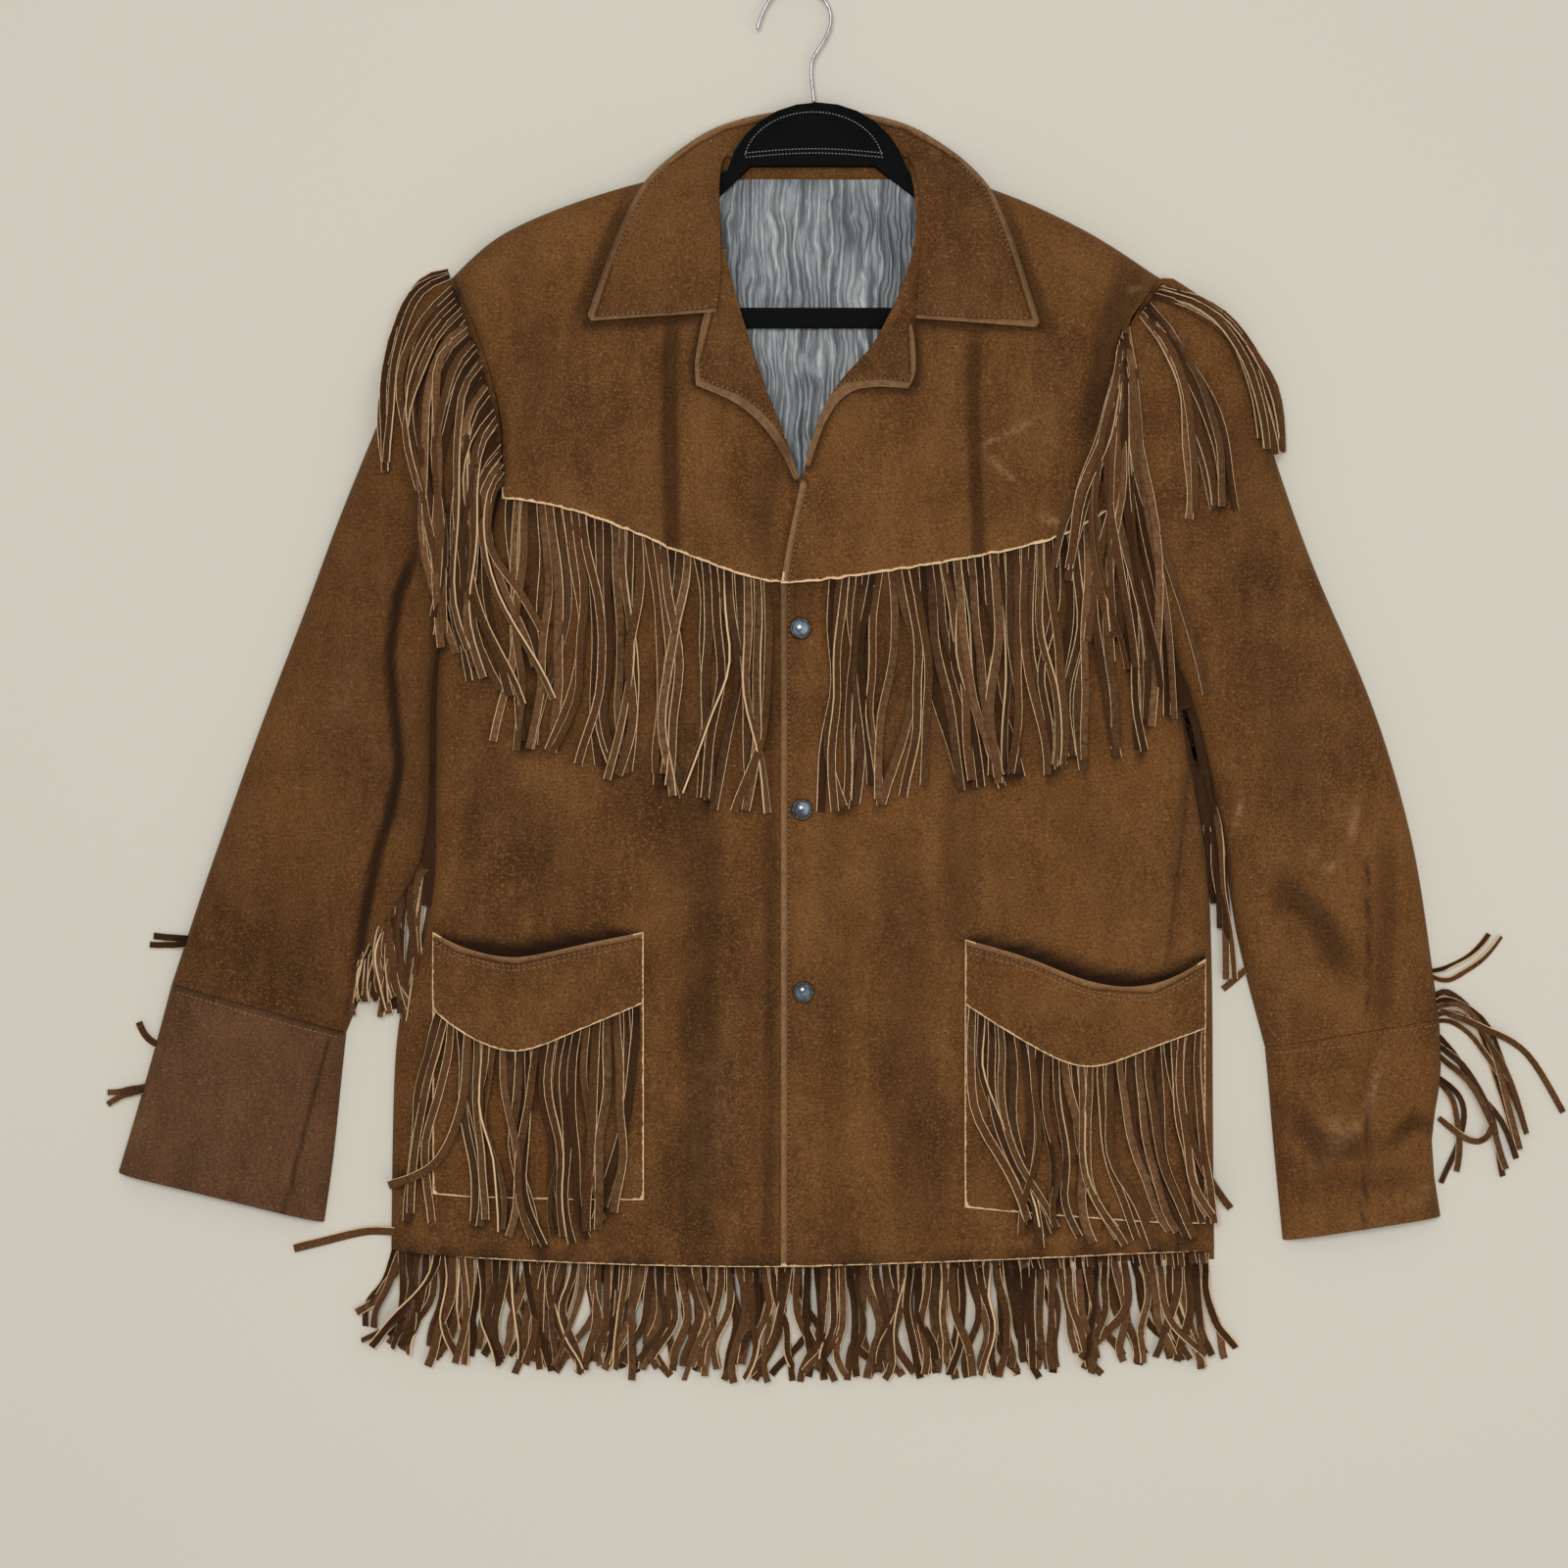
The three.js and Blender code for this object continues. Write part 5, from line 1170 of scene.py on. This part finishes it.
for name, flat, area, below in (
    ("lapel_right", (0.045, 0.114), 0.0026, ["yoke_right"]),
    ("lapel_left", (0.04, 0.104), 0.0018, ["yoke_left"]),
    ("collar", (0.301, 0.149), 0.0198, ["yoke_right", "yoke_left"]),
):
    wear(collars[name], collar_finish)
for side, flat, area, band_flat, band_area in (
    ("right", (0.14, 0.178), 0.0236, (0.14, 0.08), 0.0081),
    ("left", (0.16, 0.189), 0.0267, (0.16, 0.085), 0.0082),
):
    band = pockets[f"pocket_band_{side}"]
    wear(pockets[f"pocket_{side}"], hide_finish)
    wear(band, hide_finish)

# The stitching. Rows of waxed thread run beside the turned edges, under the cuffs' seams, twice along
# each pocket's mouth and down the lining's middle seam; grey ones trim the hanger's head.
STITCH_OFF = 0.0053


def thread(name, colour):
    return two_toned(name, (tuple(0.6 * c for c in colour), colour), (0.35, 0.65), (0.6, 0.8), 500.0)[0]


def inset(line, off):
    """A line of corners moved sideways, to its left when off is above zero."""
    line = np.array(line, float)
    along = np.gradient(line, axis=0)
    along /= np.linalg.norm(along, axis=1)[:, None]
    return line + np.stack([-along[:, 1], along[:, 0]], axis=1) * off


def sew(name, line, on, finish, pitch=0.0034, length=0.0023, thick=0.0006):
    """A row of stitches along a line, each half sunk in the piece that it is sewn through."""
    tree = skin_tree(on)
    line = np.array(line, float)
    run = np.concatenate([[0], np.cumsum(np.linalg.norm(np.diff(line, axis=0), axis=1))])
    verts, faces = [], []
    for start in np.arange(pitch / 2, run[-1] - length, pitch):
        ends = [[np.interp(start + d, run, line[:, axis]) for axis in (0, 1)] for d in (0, length)]
        hits = [tree.ray_cast(Vector((*end, ABOVE_ALL)), DOWN)[0] for end in ends]
        if None in hits:
            continue
        along = (hits[1] - hits[0]).normalized()
        aside = along.cross(Vector((0, 0, 1))).normalized()
        above = aside.cross(along)
        base = len(verts)
        verts.append(hits[0])
        for share in (0.2, 0.8):
            middle = hits[0].lerp(hits[1], share) + above * thick * 0.25
            for corner in range(CORNERS):
                turn = corner / CORNERS * 2 * math.pi
                verts.append(middle + (aside * math.cos(turn) + above * math.sin(turn)) * thick / 2)
        verts.append(hits[1])
        last = len(verts) - 1
        for corner in range(CORNERS):
            a, b = base + 1 + corner, base + 1 + (corner + 1) % CORNERS
            faces += [(base, b, a), (a, b, b + CORNERS, a + CORNERS), (last, a + CORNERS, b + CORNERS)]
    belong(joined(name, verts, faces, finish))


tan_thread = thread("tan thread", (0.3, 0.17, 0.085))
grey_thread = thread("grey thread", (0.34, 0.35, 0.36))
blue_thread = thread("blue thread", (0.22, 0.25, 0.28))
SEWN = (
    ("front_edge_stitches", inset(FRONT_EDGE, STITCH_OFF), fronts["left"]),
    ("yoke_edge_stitches", inset(YOKE_FRONT, -STITCH_OFF), yokes["left"]),
    (
        "cuff_right_stitches", ((-0.4185, -0.1765), (-0.364, -0.1925), (-0.3085, -0.2075)),
        sleeves["cuff_top_right"],
    ),
    ("cuff_left_inner_stitches", ((0.3115, -0.218), (0.37, -0.212)), sleeves["cuff_top_left"]),
    ("cuff_left_outer_stitches", ((0.3765, -0.205), (0.422, -0.199)), sleeves["cuff_top_left"]),
    ("lapel_right_stitches", inset(TURNED["lapel_right"][1:-1], STITCH_OFF), collars["lapel_right"]),
    ("lapel_left_stitches", inset(TURNED["lapel_left"][1:-1], -STITCH_OFF), collars["lapel_left"]),
    ("collar_right_stitches", inset(TURNED["collar"][3:7], -STITCH_OFF), collars["collar"]),
    ("collar_right_end_stitches", ((-0.062, 0.2752), (-0.1, 0.2718), (-0.136, 0.2696)), collars["collar"]),
    ("collar_left_stitches", inset(TURNED["collar"][14:18], -STITCH_OFF), collars["collar"]),
    ("collar_left_end_stitches", ((0.149, 0.268), (0.115, 0.269), (0.08, 0.2712)), collars["collar"]),
)
for name, line, on in SEWN:
    sew(name, line, on, tan_thread)
for side, rows in POCKETS.items():
    for row, off in enumerate((0.005, 0.0078)):
        line = [(x, mouth - off) for x, mouth, band, bottom in rows]
        steps = np.linspace(0.06, len(line) - 1.06, 60)
        line = [smooth_between(np.array(line), s) for s in steps]
        sew(f"pocket_{side}_stitches_{row + 1}", line, pockets[f"pocket_band_{side}"], tan_thread)
sew("lining_stitches", ((0.0006, 0.36), (0.0012, 0.3), (0.0, 0.24)), lining, blue_thread)
turns = math.pi * np.linspace(0.04, 0.96, 30)
arc = [(0.0065 + 0.046 * math.cos(turn), 0.3735 + 0.034 * math.sin(turn)) for turn in turns]
low_arc = [(-0.04 + 0.094 * t, 0.38 + 0.003 * math.sin(math.pi * t)) for t in np.linspace(0, 1, 12)]
for name, line in (("arc", arc), ("low", low_arc), ("lower", inset(low_arc, -0.0028))):
    sew(f"hanger_{name}_stitches", line, hanger, grey_thread, 0.0022, 0.0015, 0.0005)

# The snaps. Three pearl-topped ones down the front edge, dark with a bluish sheen, each in a rim of
# dark metal. They stay shut.
SNAPS = ((-0.002, 0.064), (-0.001, -0.056), (0.0, -0.177))

pearl, tree, shader = two_toned(
    "dark pearl", ((0.022, 0.036, 0.052), (0.17, 0.235, 0.3)), (0.42, 0.62), (0.12, 0.22), 90.0, 2.0, 0.5
)
settle(shader, Coat_Weight=0.6)
rim_metal, tree, shader = two_toned(
    "dark rim", ((0.03, 0.026, 0.022), (0.14, 0.12, 0.1)), (0.45, 0.7), (0.3, 0.5), 600.0
)
settle(shader, Metallic=0.9)

for n, (x, y) in enumerate(SNAPS, 1):
    seat = (x, y, min(v[2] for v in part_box(f"snap_{n}")) + 0.0012)
    bpy.ops.object.select_all(action="DESELECT")
    bpy.ops.mesh.primitive_torus_add(
        major_radius=0.0061, minor_radius=0.0012, major_segments=48, minor_segments=12, location=seat
    )
    rim = bpy.context.object
    bpy.ops.object.select_all(action="DESELECT")
    bpy.ops.mesh.primitive_uv_sphere_add(segments=40, ring_count=20, radius=0.0056, location=seat)
    cap = bpy.context.object
    cap.scale = (1, 1, 0.36)
    for piece, part, finish, node in ((rim, "rim", rim_metal, f"snap_{n}"), (cap, "pearl", pearl, None)):
        bpy.ops.object.select_all(action="DESELECT")
        piece.select_set(True)
        bpy.context.view_layer.objects.active = piece
        bpy.ops.object.transform_apply(location=True, rotation=True, scale=True)
        bpy.ops.object.shade_smooth()
        piece.name = f"snap_{n}_{part}"
        piece.data.materials.append(finish)
        belong(piece, node)

# The floor, the camera straight above, and the soft light of a studio.
bpy.ops.mesh.primitive_plane_add(size=6, location=(0, 0, -0.0002))
ground = bpy.context.object
ground.name = "floor"
pale, tree, shader = new_finish("pale floor")
settle(shader, Base_Color=(0.6, 0.57, 0.495, 1), Roughness=0.9)
ground.data.materials.append(pale)
ground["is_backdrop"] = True

CAMERA_HEIGHT = 2.2
CLOTH_HEIGHT = 0.015
WIDTH_SEEN = 1.04
SENSOR = 36
camera = bpy.data.objects.new("camera", bpy.data.cameras.new("camera"))
bpy.context.scene.collection.objects.link(camera)
camera.location = (-0.013, -0.039, CAMERA_HEIGHT)
camera.data.sensor_width = SENSOR
camera.data.lens = SENSOR * (CAMERA_HEIGHT - CLOTH_HEIGHT) / WIDTH_SEEN
bpy.context.scene.camera = camera

for name, place, size, power in (
    ("window", (-0.35, 0.55, 3.0), 0.9, 38),
    ("fill", (0.9, -0.5, 2.2), 1.6, 12),
):
    lamp = bpy.data.lights.new(name, "AREA")
    lamp.size = size
    lamp.energy = power
    light = bpy.data.objects.new(name, lamp)
    bpy.context.scene.collection.objects.link(light)
    light.location = place
    light.rotation_euler = (-Vector(place)).to_track_quat("-Z", "Y").to_euler()
sky = bpy.data.worlds.new("sky")
sky.use_nodes = True
settle(sky.node_tree.nodes["Background"], Color=(1, 0.98, 0.95, 1), Strength=0.52)
bpy.context.scene.world = sky
bpy.context.scene.view_settings.view_transform = "Standard"

size = {"cad": cad_box, "built": [list(corner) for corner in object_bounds()]}
